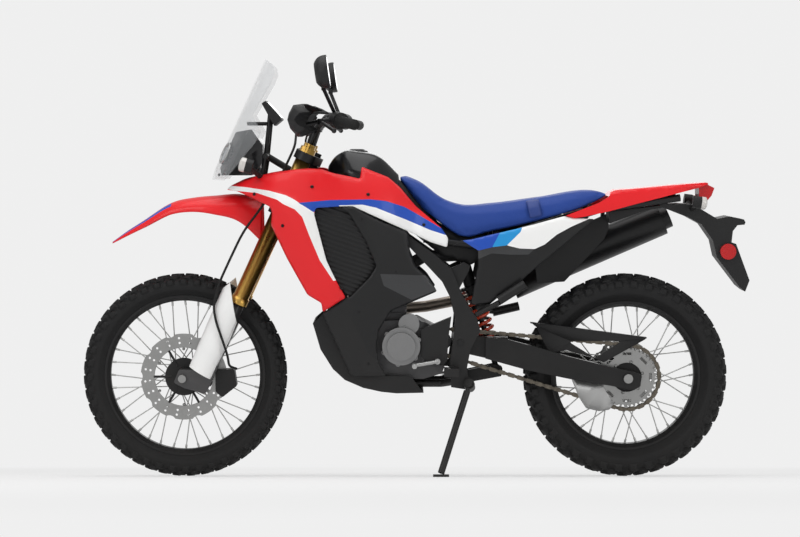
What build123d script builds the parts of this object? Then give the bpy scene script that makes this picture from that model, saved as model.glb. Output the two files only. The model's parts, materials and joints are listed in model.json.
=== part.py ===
from build123d import *
# A dual sport motorcycle, parked on its side stand.
#
# Everything is drawn upright in the bike's own frame and leaned over at the end, as it parks.
# In that frame X runs rearwards, Y to the rider's right and Z up, in millimetres, and the
# origin is on the ground midway between the axles. Left-hand pieces have negative Y.
import math
import os

# ---------------------------------------------------------------- driving dimensions
wheelbase = 1455.0
rake = 24.6                    # steering axis from the vertical, degrees
lean = 8.0                     # on the side stand, degrees to the left
gap = 0.3                      # seat of one piece on another
run_fit = 0.05                 # radial clearance of a shaft in its bore

front_tyre_r, front_tyre_w = 338.0, 86.0
rear_tyre_r, rear_tyre_w = 338.0, 122.0
front_rim_r, front_rim_w = 266.0, 52.0     # radius at the flange, width over the flanges
rear_rim_r, rear_rim_w = 247.0, 68.0
rim_depth = 19.0               # flange to the spoke bed
rim_wall = 4.0
tyre_wall = 9.0
spoke_count = 36
spoke_r = 1.9

axle_r = 9.0
axle_lead = 64.0               # the front axle ahead of the fork legs
fork_offset = 28.0             # the fork legs ahead of the steering axis
leg_y = 98.0                   # half the distance between the fork legs
fork_tube_r = 26.0
slider_r = 21.5
fork_tube_low, fork_tube_high = 297.0, 855.0   # along the leg, from abreast the axle
lower_clamp_at, lower_clamp_h = 631.0, 34.0
upper_clamp_at, upper_clamp_h = 824.0, 28.0
stem_r = 14.0
headstock_r = 27.0

pivot_x, pivot_z = 180.0, 456.0            # swingarm pivot
sprocket_x, sprocket_z = 118.0, 458.0      # gearbox output
chain_y = -75.0
chain_pitch = 15.875
rear_teeth, front_teeth = 40, 14
roller_r = 4.0
tooth_gap = 1.0                            # tooth tips to the chain's rollers

arm_inner_y, arm_outer_y = 88.0, 116.0     # the swingarm's rear arms
guard_y = -arm_inner_y + gap               # outer face of the chain guard
panel_t = 4.0                              # moulded panels
stand_pivot = (208.0, -150.0, 322.0)
stand_leg_r = 11.0
stand_splay, stand_forward = 20.0, 18.0    # of the leg when down, degrees

front_axle_x, rear_axle_x = -wheelbase / 2, wheelbase / 2
front_axle_z, rear_axle_z = front_tyre_r, rear_tyre_r
drawn_axle_x = -727.5            # the front axle in the outlines that are drawn round it


# ---------------------------------------------------------------- small tools
def xz_face(points, corner=0.0):
    """A face in the XZ plane from (x, z) pairs, its corners rounded by the given radius."""
    face = make_face(Plane.XZ * Polyline(*points, close=True))
    return fillet(face.vertices(), corner) if corner else face


def slab(points, y_low, y_high, corner=0.0):
    """An (x, z) outline given thickness from y_low to y_high."""
    return Pos(0, y_low, 0) * extrude(xz_face(points, corner), y_high - y_low, dir=(0, 1, 0))


def rod(start, end, radius, bore=0.0):
    """A round bar, or a tube where a bore is given, between two points."""
    a, b = Vector(start), Vector(end)
    place = Plane(origin=a, z_dir=b - a)
    low = (Align.CENTER, Align.CENTER, Align.MIN)
    bar = Cylinder(radius, (b - a).length, align=low)
    if bore:
        bar -= Cylinder(bore, (b - a).length, align=low)
    return place * bar


def cross_rod(x, z, y_low, y_high, radius, bore=0.0):
    """A round bar along Y."""
    return rod((x, y_low, z), (x, y_high, z), radius, bore)


def tube(points, radius, bend):
    """A round tube along straight runs joined by arcs of the bend radius."""
    path = FilletPolyline(*points, radius=bend)
    return sweep(Plane(origin=path @ 0, z_dir=path % 0) * Circle(radius), path)


def box_between(low, high):
    """A box from its lowest corner to its highest."""
    size = [b - a for a, b in zip(low, high)]
    mid = [(a + b) / 2 for a, b in zip(low, high)]
    return Pos(*mid) * Box(*size)


def other_side(shape):
    """The same piece on the other side of the bike."""
    return mirror(shape, Plane.XZ)


def together(*shapes):
    """Pieces that share a node without touching."""
    return Compound([solid for shape in shapes for solid in shape.solids()])


def both(shape):
    """A left piece and its mirror image, as two solids."""
    return together(shape, other_side(shape))


def fused(first, *others):
    """One shape from several that meet."""
    for other in others:
        first = first + other
    return first


def cut_back(shape, *others):
    """A shape with all that its neighbours fill taken out."""
    for other in others:
        shape = shape - other
    return shape


def turned_profile(points):
    """A ring about the Y axis from (y, radius) pairs."""
    return revolve(make_face(Plane.YZ * Polyline(*points, close=True)), Axis.Y, 360)


def skin(stations, thickness):
    """A thin wall through cross sections. Each station is x and then (z, half width) pairs."""
    sections = []
    for x, *row in stations:
        outer = [(x, -w, z) for z, w in row]
        inner = [(x, -w + thickness, z) for z, w in reversed(row)]
        sections.append(make_face(Polyline(*outer, *inner, close=True)))
    return loft(sections, ruled=True)


def section(x, row):
    """A symmetric cross section at x from (z, half width) pairs, bottom to top."""
    left = [(x, -w, z) for z, w in row]
    right = [(x, w, z) for z, w in reversed(row)]
    return make_face(Polyline(*left, *right, close=True))


def filled(stations, inset=0.0):
    """The volume between a pair of walls, brought in from their outsides by an inset."""
    return loft([section(x, [(z, w - inset) for z, w in row]) for x, *row in stations], ruled=True)


def stubs(spots, radius, room):
    """Lugs that reach out from (x, y, z) spots on both sides until they meet the walls of a room."""
    made = []
    for x, y, z in spots:
        for side in (-1, 1):
            made.append(cross_rod(x, z, *sorted((side * y, side * 260)), radius) & room)
    return made


def cut_from_skin(wall, outline, reach=400.0, corner=0.0):
    """The part of a left wall inside an (x, z) outline."""
    return wall & slab(outline, -reach, 0, corner)


# ---------------------------------------------------------------- the steering frame
up_axis = Vector(math.sin(math.radians(rake)), 0, math.cos(math.radians(rake)))
ahead = Vector(-math.cos(math.radians(rake)), 0, math.sin(math.radians(rake)))
leg_foot = Vector(front_axle_x, 0, front_axle_z) - ahead * axle_lead


def leg(s, n=0.0, y=0.0):
    """A point s up the fork legs, n ahead of them and y to the side."""
    return leg_foot + up_axis * s + ahead * n + Vector(0, y, 0)


def leg_plane(s, n=0.0, y=0.0):
    """A plane square to the legs: its X axis points ahead and its Z axis up the legs."""
    return Plane(origin=leg(s, n, y), x_dir=ahead, z_dir=up_axis)


def leg_outline(points, y_low, y_high, corner=0.0):
    """An outline of (s, n) pairs in the side view of the legs, given thickness in Y."""
    spots = [leg(s, n) for s, n in points]
    return slab([(p.X, p.Z) for p in spots], y_low, y_high, corner)


# ---------------------------------------------------------------- wheels
lug_count = 17                             # in each of the tread's rows
lug_share = 0.62                           # of a lug's pitch that the lug fills
lug_height = 10.0
lug_bevel = 2.0
inner_sides = 16


def lug_ring(y, r_low, r_high, turned=0.0):
    """A face square to the Y axis: round it, each lug's flat top follows a gap's flat floor."""
    r_tip = r_high / math.cos(math.pi * lug_share / lug_count)
    spots = []
    for i in range(lug_count):
        for share, r in ((0, r_low), (0, r_tip), (lug_share, r_tip), (lug_share, r_low)):
            turn = 2 * math.pi * (i + share - lug_share / 2 + turned) / lug_count
            spots.append((-r * math.sin(turn), y, -r * math.cos(turn)))
    return make_face(Polyline(*spots, close=True))


def plain_ring(y, radius):
    """A many-sided face square to the Y axis, its sides touching the radius from outside."""
    return Pos(0, y, 0) * Rot(90, 0, 0) * make_face(RegularPolygon(radius, inner_sides, major_radius=False))


def tyre(radius, width, rim_r, rim_w):
    """A hollow tyre with rows of flat-sided lugs, its beads inside the rim's flanges."""
    bead = rim_w / 2 - rim_wall - gap
    half = width / 2
    rise = radius - rim_r
    crown_half = 0.48 * half
    crown = radius - crown_half * math.tan(math.radians(lean)) - lug_bevel / 2
    middle = loft([lug_ring(-crown_half, crown - lug_height, crown),
                   lug_ring(0, crown - lug_height, radius),
                   lug_ring(crown_half, crown - lug_height, crown)], ruled=True)
    side = loft([lug_ring(crown_half, crown - lug_height, crown - lug_bevel, 0.5),
                 lug_ring(half, rim_r + 0.64 * rise, rim_r + 0.72 * rise, 0.5),
                 lug_ring(bead, rim_r + 2, rim_r + 4, 0.5)], ruled=True)
    body = fused(middle, side, other_side(side))
    wide, shoulder, floor_r = half - tyre_wall - 2, rim_r + 0.55 * rise, crown - lug_height - tyre_wall
    room = loft([plain_ring(-wide, shoulder), plain_ring(-0.5 * wide, floor_r),
                 plain_ring(0.5 * wide, floor_r), plain_ring(wide, shoulder)], ruled=True)
    neck = bead - tyre_wall
    collar = loft([plain_ring(neck, rim_r + 6), plain_ring(wide + 1, shoulder + 1)], ruled=True)
    room = room - collar - other_side(collar)
    seat = rim_r - 7 + gap
    bore = Rot(90, 0, 0) * extrude(make_face(RegularPolygon(seat, inner_sides, major_radius=False)),
                                   width, both=True)
    return body - room - bore


def rim(rim_r, rim_w):
    """A single-wall wheel rim, open to the tyre."""
    half = rim_w / 2
    outer = [(half, rim_r), (half, rim_r - 8), (half * 0.45, rim_r - rim_depth)]
    inner = [(half * 0.45 - 2, rim_r - rim_depth + rim_wall), (half - rim_wall, rim_r - 7),
             (half - rim_wall, rim_r)]
    outside = outer + [(-y, r) for y, r in reversed(outer)]
    inside = [(-y, r) for y, r in reversed(inner)] + inner
    return turned_profile(outside + inside)


def spokes(flange_r, flange_y, rim_r, rim_y):
    """Crossed spokes from both hub flanges to the rim, each with its nipple."""
    end_r = rim_r - rim_depth + 1
    made = []
    for i in range(spoke_count):
        side = -1 if i % 2 else 1
        lead = 1 if (i // 2) % 2 else -1
        at = 360.0 / spoke_count * i
        start, end = math.radians(at + lead * 62), math.radians(at)
        y0 = side * (flange_y + lead * 3.2)
        y1 = side * rim_y
        a = (flange_r * math.cos(start), y0, flange_r * math.sin(start))
        b = (end_r * math.cos(end), y1, end_r * math.sin(end))
        made.append(rod(a, b, spoke_r))
        back = Vector(*b) + (Vector(*a) - Vector(*b)).normalized() * 16
        made.append(rod(back, b, spoke_r * 1.8))
    return made


front_hub_half, front_flange_y, front_flange_r = 52.0, 30.0, 40.0
rear_hub_half, rear_flange_y, rear_flange_r = 58.0, 36.0, 58.0
disc_y, disc_t, disc_r, disc_inner_r = -60.0, 4.0, 142.0, 96.0
rear_disc_y, rear_disc_r = 66.0, 110.0


def hub(half, flange_y, flange_r, core_r):
    """A hub barrel with two spoke flanges and a bore for the axle."""
    body = cross_rod(0, 0, -half, half, core_r)
    for side in (-1, 1):
        body += cross_rod(0, 0, side * flange_y - 6, side * flange_y + 6, flange_r)
    return body


scallop_r, scallop_depth, drill_r = 24.0, 6.5, 4.2   # dips in a rotor's rim, and its holes


def scalloped(outer_r, scallops, hole_rings):
    """A flat rotor in its own plane: a wavy rim and rings of six-sided holes, (radius, count)."""
    with BuildSketch() as rotor:
        Circle(outer_r)
        with PolarLocations(outer_r + scallop_r - scallop_depth, scallops):
            Circle(scallop_r, mode=Mode.SUBTRACT)
        for radius, count in hole_rings:
            with PolarLocations(radius, count, start_angle=7):
                RegularPolygon(drill_r, 6, mode=Mode.SUBTRACT)
    return rotor.sketch


def upright_plate(sketch, y, thickness):
    """A sketch stood up in the XZ plane about y and given thickness."""
    return Pos(0, y, 0) * Rot(90, 0, 0) * extrude(sketch, thickness / 2, both=True)


def front_disc():
    """The front brake rotor, a drilled ring with a wavy rim."""
    rotor = upright_plate(scalloped(disc_r, 10, [(128, 20), (112, 20)]), disc_y, disc_t)
    return rotor - cross_rod(0, 0, disc_y - disc_t, disc_y + disc_t, disc_inner_r)


def front_hub():
    """The front hub with its spokes and the disc's carrier."""
    body = hub(front_hub_half, front_flange_y, front_flange_r, 24)
    carrier = cross_rod(0, 0, disc_y - disc_t / 2, -front_hub_half + 1, 62)
    arms = []
    for i in range(6):
        a = math.radians(60 * i)
        tip = disc_inner_r + 3
        arms.append(rod((40 * math.cos(a), disc_y, 40 * math.sin(a)),
                        (tip * math.cos(a), disc_y, tip * math.sin(a)), 4))
    body = fused(body, carrier, *arms,
                 *spokes(front_flange_r - 4, front_flange_y, front_rim_r, 5))
    return body - cross_rod(0, 0, -120, 120, axle_r + run_fit)


def rear_hub():
    """The rear hub with its spokes, cush drive and disc seat."""
    body = hub(rear_hub_half, rear_flange_y, rear_flange_r, 34)
    drive = cross_rod(0, 0, chain_y + 3.3, -rear_hub_half + 4, 62)
    disc_seat = cross_rod(0, 0, rear_hub_half - 4, rear_disc_y - disc_t / 2 - gap, 60)
    body = fused(body, drive, disc_seat,
                 *spokes(rear_flange_r - 5, rear_flange_y, rear_rim_r, 8))
    return body - cross_rod(0, 0, -140, 140, axle_r + run_fit)


def pitch_radius(teeth):
    return chain_pitch / (2 * math.sin(math.pi / teeth))


tooth_depth = 7.0


def toothed(teeth, tip_r):
    """A sprocket's outline: one tooth to each chain pitch."""
    points = []
    for i in range(teeth):
        for share, r in ((0.0, tip_r - tooth_depth), (0.3, tip_r - tooth_depth), (0.5, tip_r),
                         (0.8, tip_r)):
            turn = 2 * math.pi * (i + share) / teeth
            points.append((r * math.cos(turn), r * math.sin(turn)))
    return make_face(Polyline(*points, close=True))


def rear_sprocket():
    """The driven sprocket, with long lightening slots and a tooth at each chain pitch."""
    plate = upright_plate(toothed(rear_teeth, pitch_radius(rear_teeth) - 3), chain_y, 6)
    slots = [Rot(0, 45 * i, 0) * Pos(77, chain_y, 0) * Box(9, 10, 28) for i in range(8)]
    return plate - cross_rod(0, 0, chain_y - 5, chain_y + 5, 48) - fused(*slots)


def rear_disc():
    """The rear brake rotor, drilled, with a wavy rim."""
    rotor = upright_plate(scalloped(rear_disc_r, 8, [(98, 16)]), rear_disc_y, disc_t)
    return rotor - cross_rod(0, 0, rear_disc_y - disc_t, rear_disc_y + disc_t, 40)


def at_front(shape):
    return Pos(front_axle_x, 0, front_axle_z) * shape


def at_rear(shape):
    return Pos(rear_axle_x, 0, rear_axle_z) * shape


# ---------------------------------------------------------------- fork and steering
def follow_axle(shape):
    """A shape drawn round the front axle, moved along with it."""
    return Pos(front_axle_x - drawn_axle_x, 0, 0) * shape


def clamp_plate(at, height, tube_r, leg_ring, stem_ring):
    """A triple clamp: three rings square to the legs, joined by a hull, bored for both legs."""
    with BuildSketch() as outline:
        with Locations((0, leg_y), (0, -leg_y)):
            Circle(leg_ring)
        with Locations((-fork_offset, 0)):
            Circle(stem_ring)
        make_hull()
    plate = extrude(outline.sketch, height / 2, both=True)
    for side in (-1, 1):
        plate -= Pos(0, side * leg_y, 0) * Cylinder(tube_r + run_fit, height * 2)
    return leg_plane(at) * plate


def steering_clamps():
    """Both triple clamps on their stem, with the bar mounts."""
    lower = clamp_plate(lower_clamp_at, lower_clamp_h, fork_tube_r, 37, 30)
    upper = clamp_plate(upper_clamp_at, upper_clamp_h, fork_tube_r, 35, 28)
    stem = rod(leg(lower_clamp_at, -fork_offset), leg(upper_clamp_at, -fork_offset), stem_r)
    nut = rod(leg(upper_clamp_at + 10, -fork_offset), leg(upper_clamp_at + 26, -fork_offset), 17)
    risers = []
    for side in (-1, 1):
        foot = leg(upper_clamp_at, -4, side * 46)
        risers.append(rod(foot, (bar_x, side * 46, bar_z), 14))
        risers.append(box_between((bar_x - 17, side * 46 - 14, bar_z - 8),
                                  (bar_x + 17, side * 46 + 14, bar_z + 17)))
    body = fused(lower, upper, stem, nut, *risers)
    return body - cross_rod(bar_x, bar_z, -74, 74, bar_r + run_fit)


bar_x, bar_z, bar_r = -292.0, 1148.0, 11.0
grip_r = 16.5
# right half of the handlebar: x, y, z
bar_points = [(bar_x, 0, bar_z), (bar_x, 75, bar_z), (-252, 190, 1188),
              (-160, 425, 1164)]


def fork_tubes():
    """The two upper outer tubes with their caps and seal collars."""
    made = []
    for side in (-1, 1):
        y = side * leg_y
        body = rod(leg(fork_tube_low, 0, y), leg(fork_tube_high, 0, y), fork_tube_r)
        body += rod(leg(fork_tube_low, 0, y), leg(fork_tube_low + 24, 0, y), fork_tube_r + 3)
        body += rod(leg(fork_tube_high, 0, y), leg(fork_tube_high + 13, 0, y), 20)
        bore = rod(leg(fork_tube_low - 1, 0, y), leg(fork_tube_low + 180, 0, y), slider_r + run_fit)
        made.append(body - bore)
    return together(*made)


def fork_sliders():
    """The lower inner tubes with the axle lugs at their feet."""
    made = []
    for side in (-1, 1):
        y = side * leg_y
        body = rod(leg(20, 0, y), leg(fork_tube_low + 170, 0, y), slider_r)
        outline = [(-24, 84), (-26, 44), (-14, -26), (86, -26), (90, 26), (40, 44), (22, 86)]
        lug = leg_outline(outline, y - 22, y + 22, 8)
        body = body + lug
        made.append(body - cross_rod(front_axle_x, front_axle_z, -200, 200, axle_r + run_fit))
    return together(*made)


def fork_guards():
    """Moulded shields round the front and outer sides of the sliders."""
    outline = [(36, -20), (46, 60), (317, 69), (352, 51), (276, 2), (240, -22), (190, -24)]
    y = -leg_y
    outer_r = 46.0
    shell = leg_plane(0, 20, y) * extrude(Circle(outer_r) - Circle(outer_r - panel_t), 400)
    left = shell & leg_outline(outline, y - 60, y + 8)
    return both(left)


def front_axle():
    ends = front_axle_x, front_axle_z
    shaft = cross_rod(*ends, -leg_y - 26, leg_y + 26, axle_r)
    collars = [cross_rod(*ends, -leg_y + 22 + gap, -front_hub_half - 6 - 4, 15),
               cross_rod(*ends, front_hub_half + 1, leg_y - 22 - gap, 15)]
    return fused(shaft, *collars, cross_rod(*ends, -leg_y - 34, -leg_y - 22 - gap, 13),
                 cross_rod(*ends, leg_y + 22 + gap, leg_y + 34, 13))


def handlebar():
    """One bent tube from grip to grip, straight between its clamps."""
    straight = 60.0
    body = cross_rod(bar_x, bar_z, -straight, straight, bar_r)
    for side in (-1, 1):
        bend = [(x, side * y, z) for x, y, z in [(bar_x, straight, bar_z), *bar_points[1:]]]
        body += tube(bend, bar_r, 45)
    return body


def grip_frame(side, back):
    """A point on the bar's outer run, measured inwards from its end."""
    end = Vector(*bar_points[-1])
    inward = (Vector(*bar_points[-2]) - end).normalized()
    spot = end + inward * back
    return Vector(spot.X, side * spot.Y, spot.Z)


def grips():
    """Rubber grips on the bar's outer runs."""
    made = []
    for side in (-1, 1):
        body = rod(grip_frame(side, -6), grip_frame(side, 118), grip_r)
        body += rod(grip_frame(side, 112), grip_frame(side, 118), 24)
        body -= rod(grip_frame(side, 0), grip_frame(side, 130), bar_r + gap)
        made.append(body)
    return together(*made)


def switches():
    """Switch housings inboard of the grips."""
    made = []
    for side in (-1, 1):
        body = rod(grip_frame(side, 120), grip_frame(side, 158), 27)
        body -= rod(grip_frame(side, 110), grip_frame(side, 170), bar_r + gap)
        made.append(body)
    return together(*made)


def levers():
    """Clutch and brake levers on their perches."""
    made = []
    for side in (-1, 1):
        perch_at = grip_frame(side, 176)
        ring = rod(grip_frame(side, 164), grip_frame(side, 188), 19)
        ring -= rod(grip_frame(side, 160), grip_frame(side, 192), bar_r + gap)
        pivot = perch_at + Vector(-46, side * 2, -6)
        arm = rod(perch_at + Vector(-14, 0, -2), pivot, 9)
        tip = grip_frame(side, 12) + Vector(-58, 0, -20)
        body = fused(ring, arm, rod(pivot + Vector(0, 0, -9), pivot + Vector(0, 0, 9), 10),
                     rod(pivot, tip, 5.5), Pos(*tip) * Sphere(8))
        made.append(body)
    return together(*made)


# a knuckle shield's stations: distance from the middle, set-back and height scale
guard_stations = [(250, 57, 0.6), (270, 39, 0.8), (310, 12, 1.0), (350, 0, 1.0), (396, 4, 0.8),
                  (416, 22, 0.5)]
guard_profile = [(-322, 1230), (-352, 1226), (-366, 1200), (-371, 1180), (-362, 1152), (-338, 1126)]


def guard_section(y, back, scale, thickness):
    """The thin cross section of a left knuckle shield at one station."""
    mid_z = 1178
    outer = [(x + back, -y, mid_z + (z - mid_z) * scale) for x, z in guard_profile]
    inner = [(x + thickness, y, z + (1178 - z) * 0.05) for x, y, z in reversed(outer)]
    return make_face(Polyline(*outer, *inner, close=True))


def hand_guards():
    """Knuckle shields ahead of the levers, each on a bracket from the bar."""
    shield = loft([guard_section(*row, panel_t) for row in guard_stations], ruled=True)
    made = []
    for side in (-1, 1):
        ring = rod(grip_frame(side, 196), grip_frame(side, 214), 18)
        ring += rod(grip_frame(side, 205), (-317, side * 257, 1166), 7)
        ring -= rod(grip_frame(side, 180), grip_frame(side, 230), bar_r + run_fit)
        made.append(ring + (shield if side < 0 else other_side(shield)))
    return together(*made)


def mirrors():
    """Two mirrors on stems."""
    made = []
    for side in (-1, 1):
        base = grip_frame(side, 176) + Vector(0, 0, 18)
        neck = Vector(-256, side * 350, 1275)
        stem = rod(base, neck, 6)
        shell = loft([Plane.YZ.offset(x) * Ellipse(wide, high)
                      for x, wide, high in ((-26, 38, 30), (-10, 57, 48), (16, 60, 52))])
        head = Pos(-256, side * 392, 1328) * Rot(0, -8, 0) * shell
        made.append(fused(stem, rod(neck, (-256, side * 380, 1300), 8), head))
    return together(*made)


def front_fender():
    """The high front mudguard: side outline through a crowned skin."""
    stations = [
        (-966, (772, 4), (782, 3)),
        (-865, (820, 44), (850, 36)),
        (-763, (868, 64), (914, 52)),
        (-625, (868, 78), (934, 60)),
        (-540, (842, 70), (938, 58)),
        (-467, (776, 66), (915, 56)),
    ]
    sections = []
    for x, (z0, w0), (z1, w1) in stations:
        sections.append(make_face(Polyline((x, -w0, z0), (x, -w1, z1), (x, w1, z1), (x, w0, z0),
                                           close=True)))
    solid = loft(sections, ruled=True)
    inner = []
    for x, (z0, w0), (z1, w1) in stations:
        t = panel_t
        w0i, w1i = max(w0 - t, 1), max(w1 - t, 0.8)
        inner.append(make_face(Polyline((x + 6, -w0i, z0 - 8), (x + 6, -w1i, z1 - t),
                                        (x + 6, w1i, z1 - t), (x + 6, w0i, z0 - 8), close=True)))
    mount = leg_outline([(614, -12), (614, 50), (634, 64), (634, 100), (600, 100), (590, -12)], -40, 40)
    shell = follow_axle(solid - loft(inner, ruled=True))
    return shell + mount


def front_caliper():
    """The front brake caliper, behind the left leg and astride the disc."""
    outline = [(-622, 362), (-560, 366), (-552, 310), (-600, 272), (-622, 292)]
    body = follow_axle(slab(outline, disc_y - 26, disc_y + 22, 6))
    slot = at_front(cross_rod(0, 0, disc_y - disc_t, disc_y + disc_t, disc_r + 4))
    return body - slot


# ---------------------------------------------------------------- frame and running gear
def frame_tubes():
    """Headstock, twin spars, downtube, cradle rails and pivot plates."""
    low = leg(lower_clamp_at + lower_clamp_h / 2 + 2, -fork_offset)
    high = leg(upper_clamp_at - upper_clamp_h / 2 - 2, -fork_offset)
    head = rod(low, high, headstock_r)
    down_end = (-190, 0, 400)
    body = head + rod(low + (high - low) * 0.56, down_end, 20)
    spar_root = low + (high - low) * 0.5
    spar_outline = [(-60, 892), (-70, 852), (16, 765), (78, 700), (120, 655), (148, 600),
                    (163, 534), (158, 474), (146, 394), (150, 310), (214, 300), (201, 370),
                    (213, 434), (245, 494), (233, 538), (216, 560), (182, 619), (152, 694),
                    (97, 743), (16, 800)]
    for side in (-1, 1):
        low_y, high_y = sorted((side * 96, side * 122))
        body += slab(spar_outline, low_y, high_y)
        low_y, high_y = sorted((side * 96, side * 106))
        body += slab([(134, 690), (190, 718), (212, 706), (208, 690), (176, 630)], low_y, high_y)
        body += rod((spar_root.X, side * 12, spar_root.Z), (-52, side * 107, 868), 18)
        body += tube([(-190, side * 8, 402), (-168, side * 60, 352), (-72, side * 60, 316),
                      (120, side * 60, 316), (172, side * 112, 330)], 12, 20)
        body += rod((0, side * 60, 316), (0, side * 60, 294), 9)
        body += rod((-100, side * 60, 326), (-100, side * 60, 304), 9)
    for x, z in ((176, 330), (196, 700)):
        body += cross_rod(x, z, -100, 100, 12)
    body = fused(body, *stubs([(-52, 100, 868)], 9, filled(fairing_stations, panel_t)))
    bore = rod(low - up_axis, high + up_axis, stem_r + run_fit)
    pivot = cross_rod(pivot_x, pivot_z, -130, 130, 10 + run_fit)
    shaft = cross_rod(pivot_x, pivot_z, -127, 127, 10)
    return fused(body - bore - pivot, stand_mount()), shaft


def subframe():
    """Seat rails and the stays under them."""
    made = []
    for side in (-1, 1):
        y = side * 78
        rail = tube([(60, y, 792), (250, y, 768), (640, y, 890), (900, y * 0.7, 926)], 12, 60)
        stay = tube([(236, side * 109, 560), (330, side * 100, 640), (520, y, 850)], 11, 60)
        made += [rail, stay]
        made.append(rod((300, y, 784), (300, y, 824), 9))
        made.append(rod((600, y, 877), (600, y, 908), 9))
        made.append(rod((850, y * 0.76, 918), (850, y * 0.76, 990), 8) & tail_room())
    cross = [cross_rod(300, 784, -78, 78, 9), cross_rod(640, 890, -78, 78, 9),
             rod((660, 77, 886), (660, 136, 812), 7)]
    lugs = stubs([(66, 70, 799)], 6, filled(fairing_stations, panel_t))
    lugs += stubs([(262, 70, 771), (420, 70, 818)], 7, filled(side_cover_stations, panel_t))
    return fused(*made, *cross, *lugs)


def engine_case():
    """Crankcase and gearbox, with the front sprocket on the gearbox shaft."""
    outline = [(-118, 352), (-134, 400), (-124, 480), (-90, 524), (40, 530), (90, 505),
               (135, 480), (138, 400), (120, 352), (60, 334), (-60, 332)]
    case = slab(outline, -92, 92, 8)
    case -= box_between((62, -120, 380), (160, -58, 540))
    mounts = [cross_rod(122, 450, 90, 96, 12), cross_rod(122, 380, 90, 96, 10)]
    shaft = cross_rod(sprocket_x, sprocket_z, -88, -56, 12)
    sprocket = cross_rod(sprocket_x, sprocket_z, chain_y - 3, chain_y + 3, pitch_radius(front_teeth) - 3)
    lugs = stubs([(-125, 88, 420), (-84, 60, 515)], 7, filled(lower_cowl_stations, panel_t))
    return fused(case, shaft, sprocket, *mounts, *lugs)


def cylinder():
    """Finned barrel, head and cam cover, leaning slightly forward."""
    barrel = slab([(-114, 510), (-128, 632), (0, 632), (4, 514)], -62, 62, 8)
    fins = [box_between((-127, -70, z), (5, 70, z + 4)) for z in range(546, 620, 18)]
    head = slab([(-134, 626), (-136, 640), (-124, 702), (-14, 708), (0, 640), (2, 626)], -72, 72, 8)
    cover = slab([(-120, 696), (-118, 722), (-100, 736), (-36, 738), (-22, 722), (-18, 700)], -58, 58, 6)
    return fused(barrel, *fins, head, cover)


def airbox():
    """The air filter's box under the seat, with the duct to the head."""
    box = slab([(284, 640), (264, 700), (262, 764), (276, 786), (410, 812), (430, 740), (370, 680)],
               -66, 66, 10)
    duct = tube([(-12, -30, 690), (60, -34, 732), (280, -34, 742)], 20, 30)
    return box + duct


def engine_covers():
    """Generator cover on the left; clutch cover and water pump on the right."""
    left = cross_rod(-13, 445, -138, -92 - gap, 62)
    left += cross_rod(-13, 445, -150, -136, 46)
    left += cross_rod(12, 516, -126, -92 - gap, 34)
    for i in range(6):
        turn = math.radians(60 * i + 20)
        left += cross_rod(-13 + 60 * math.cos(turn), 445 + 60 * math.sin(turn), -132, -100, 8)
    right = slab([(-104, 372), (-112, 470), (-60, 506), (60, 506), (96, 450), (88, 380),
                  (20, 348), (-70, 350)], 92 + gap, 134, 16)
    right += cross_rod(-24, 432, 130, 143, 50) + cross_rod(70, 402, 130, 146, 24)
    return together(left, right)


def sprocket_cover():
    cover = slab([(52, 500), (64, 504), (150, 540), (142, 480), (136, 396), (126, 384), (76, 388), (52, 410)],
                 -126, -96 - gap)
    return cover + slab([(52, 500), (61, 502), (61, 402), (52, 410)], -110, -92)


def swingarm():
    """Arms from the pivot out and back to the axle plates, joined ahead of the wheel."""
    neck = [(160, 440), (166, 425), (262, 403), (336, 396), (336, 470), (262, 472), (190, 480),
            (166, 474)]
    arm = [(262, 403), (403, 364), (547, 334), (671, 314), (746, 299), (768, 312), (772, 350),
           (745, 360), (691, 370), (532, 410), (431, 440), (323, 468), (262, 472)]
    made = cross_rod(pivot_x, pivot_z, -94, 94, 25)
    for side in (-1, 1):
        inner = sorted((side * 56, side * 94))
        outer = sorted((side * arm_inner_y, side * arm_outer_y))
        spread = sorted((side * 56, side * arm_outer_y))
        made += slab(neck, *inner)
        made += slab(arm, *outer)
        made += slab([(262, 403), (336, 396), (336, 468), (262, 472)], *spread)
    made += slab([(334, 392), (362, 388), (366, 434), (334, 446)], -100, 100)
    made -= box_between((100, -140, 300), (261, -94.5, 600))
    made -= box_between((100, 94.5, 300), (261, 140, 600))
    made -= cross_rod(pivot_x, pivot_z, -130, 130, 10 + run_fit)
    made -= cross_rod(rear_axle_x, rear_axle_z, -140, 140, axle_r + run_fit)
    return made


def rear_axle():
    ends = rear_axle_x, rear_axle_z
    shaft = cross_rod(*ends, -arm_outer_y - 8, arm_outer_y + 8, axle_r)
    pieces = []
    for side in (-1, 1):
        pieces.append(cross_rod(*ends, *sorted((side * (arm_outer_y + gap), side * (arm_outer_y + 14))), 15))
        pieces.append(cross_rod(*ends, *sorted((side * 80, side * (arm_inner_y - gap))), 14))
    return fused(shaft, *pieces)


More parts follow.
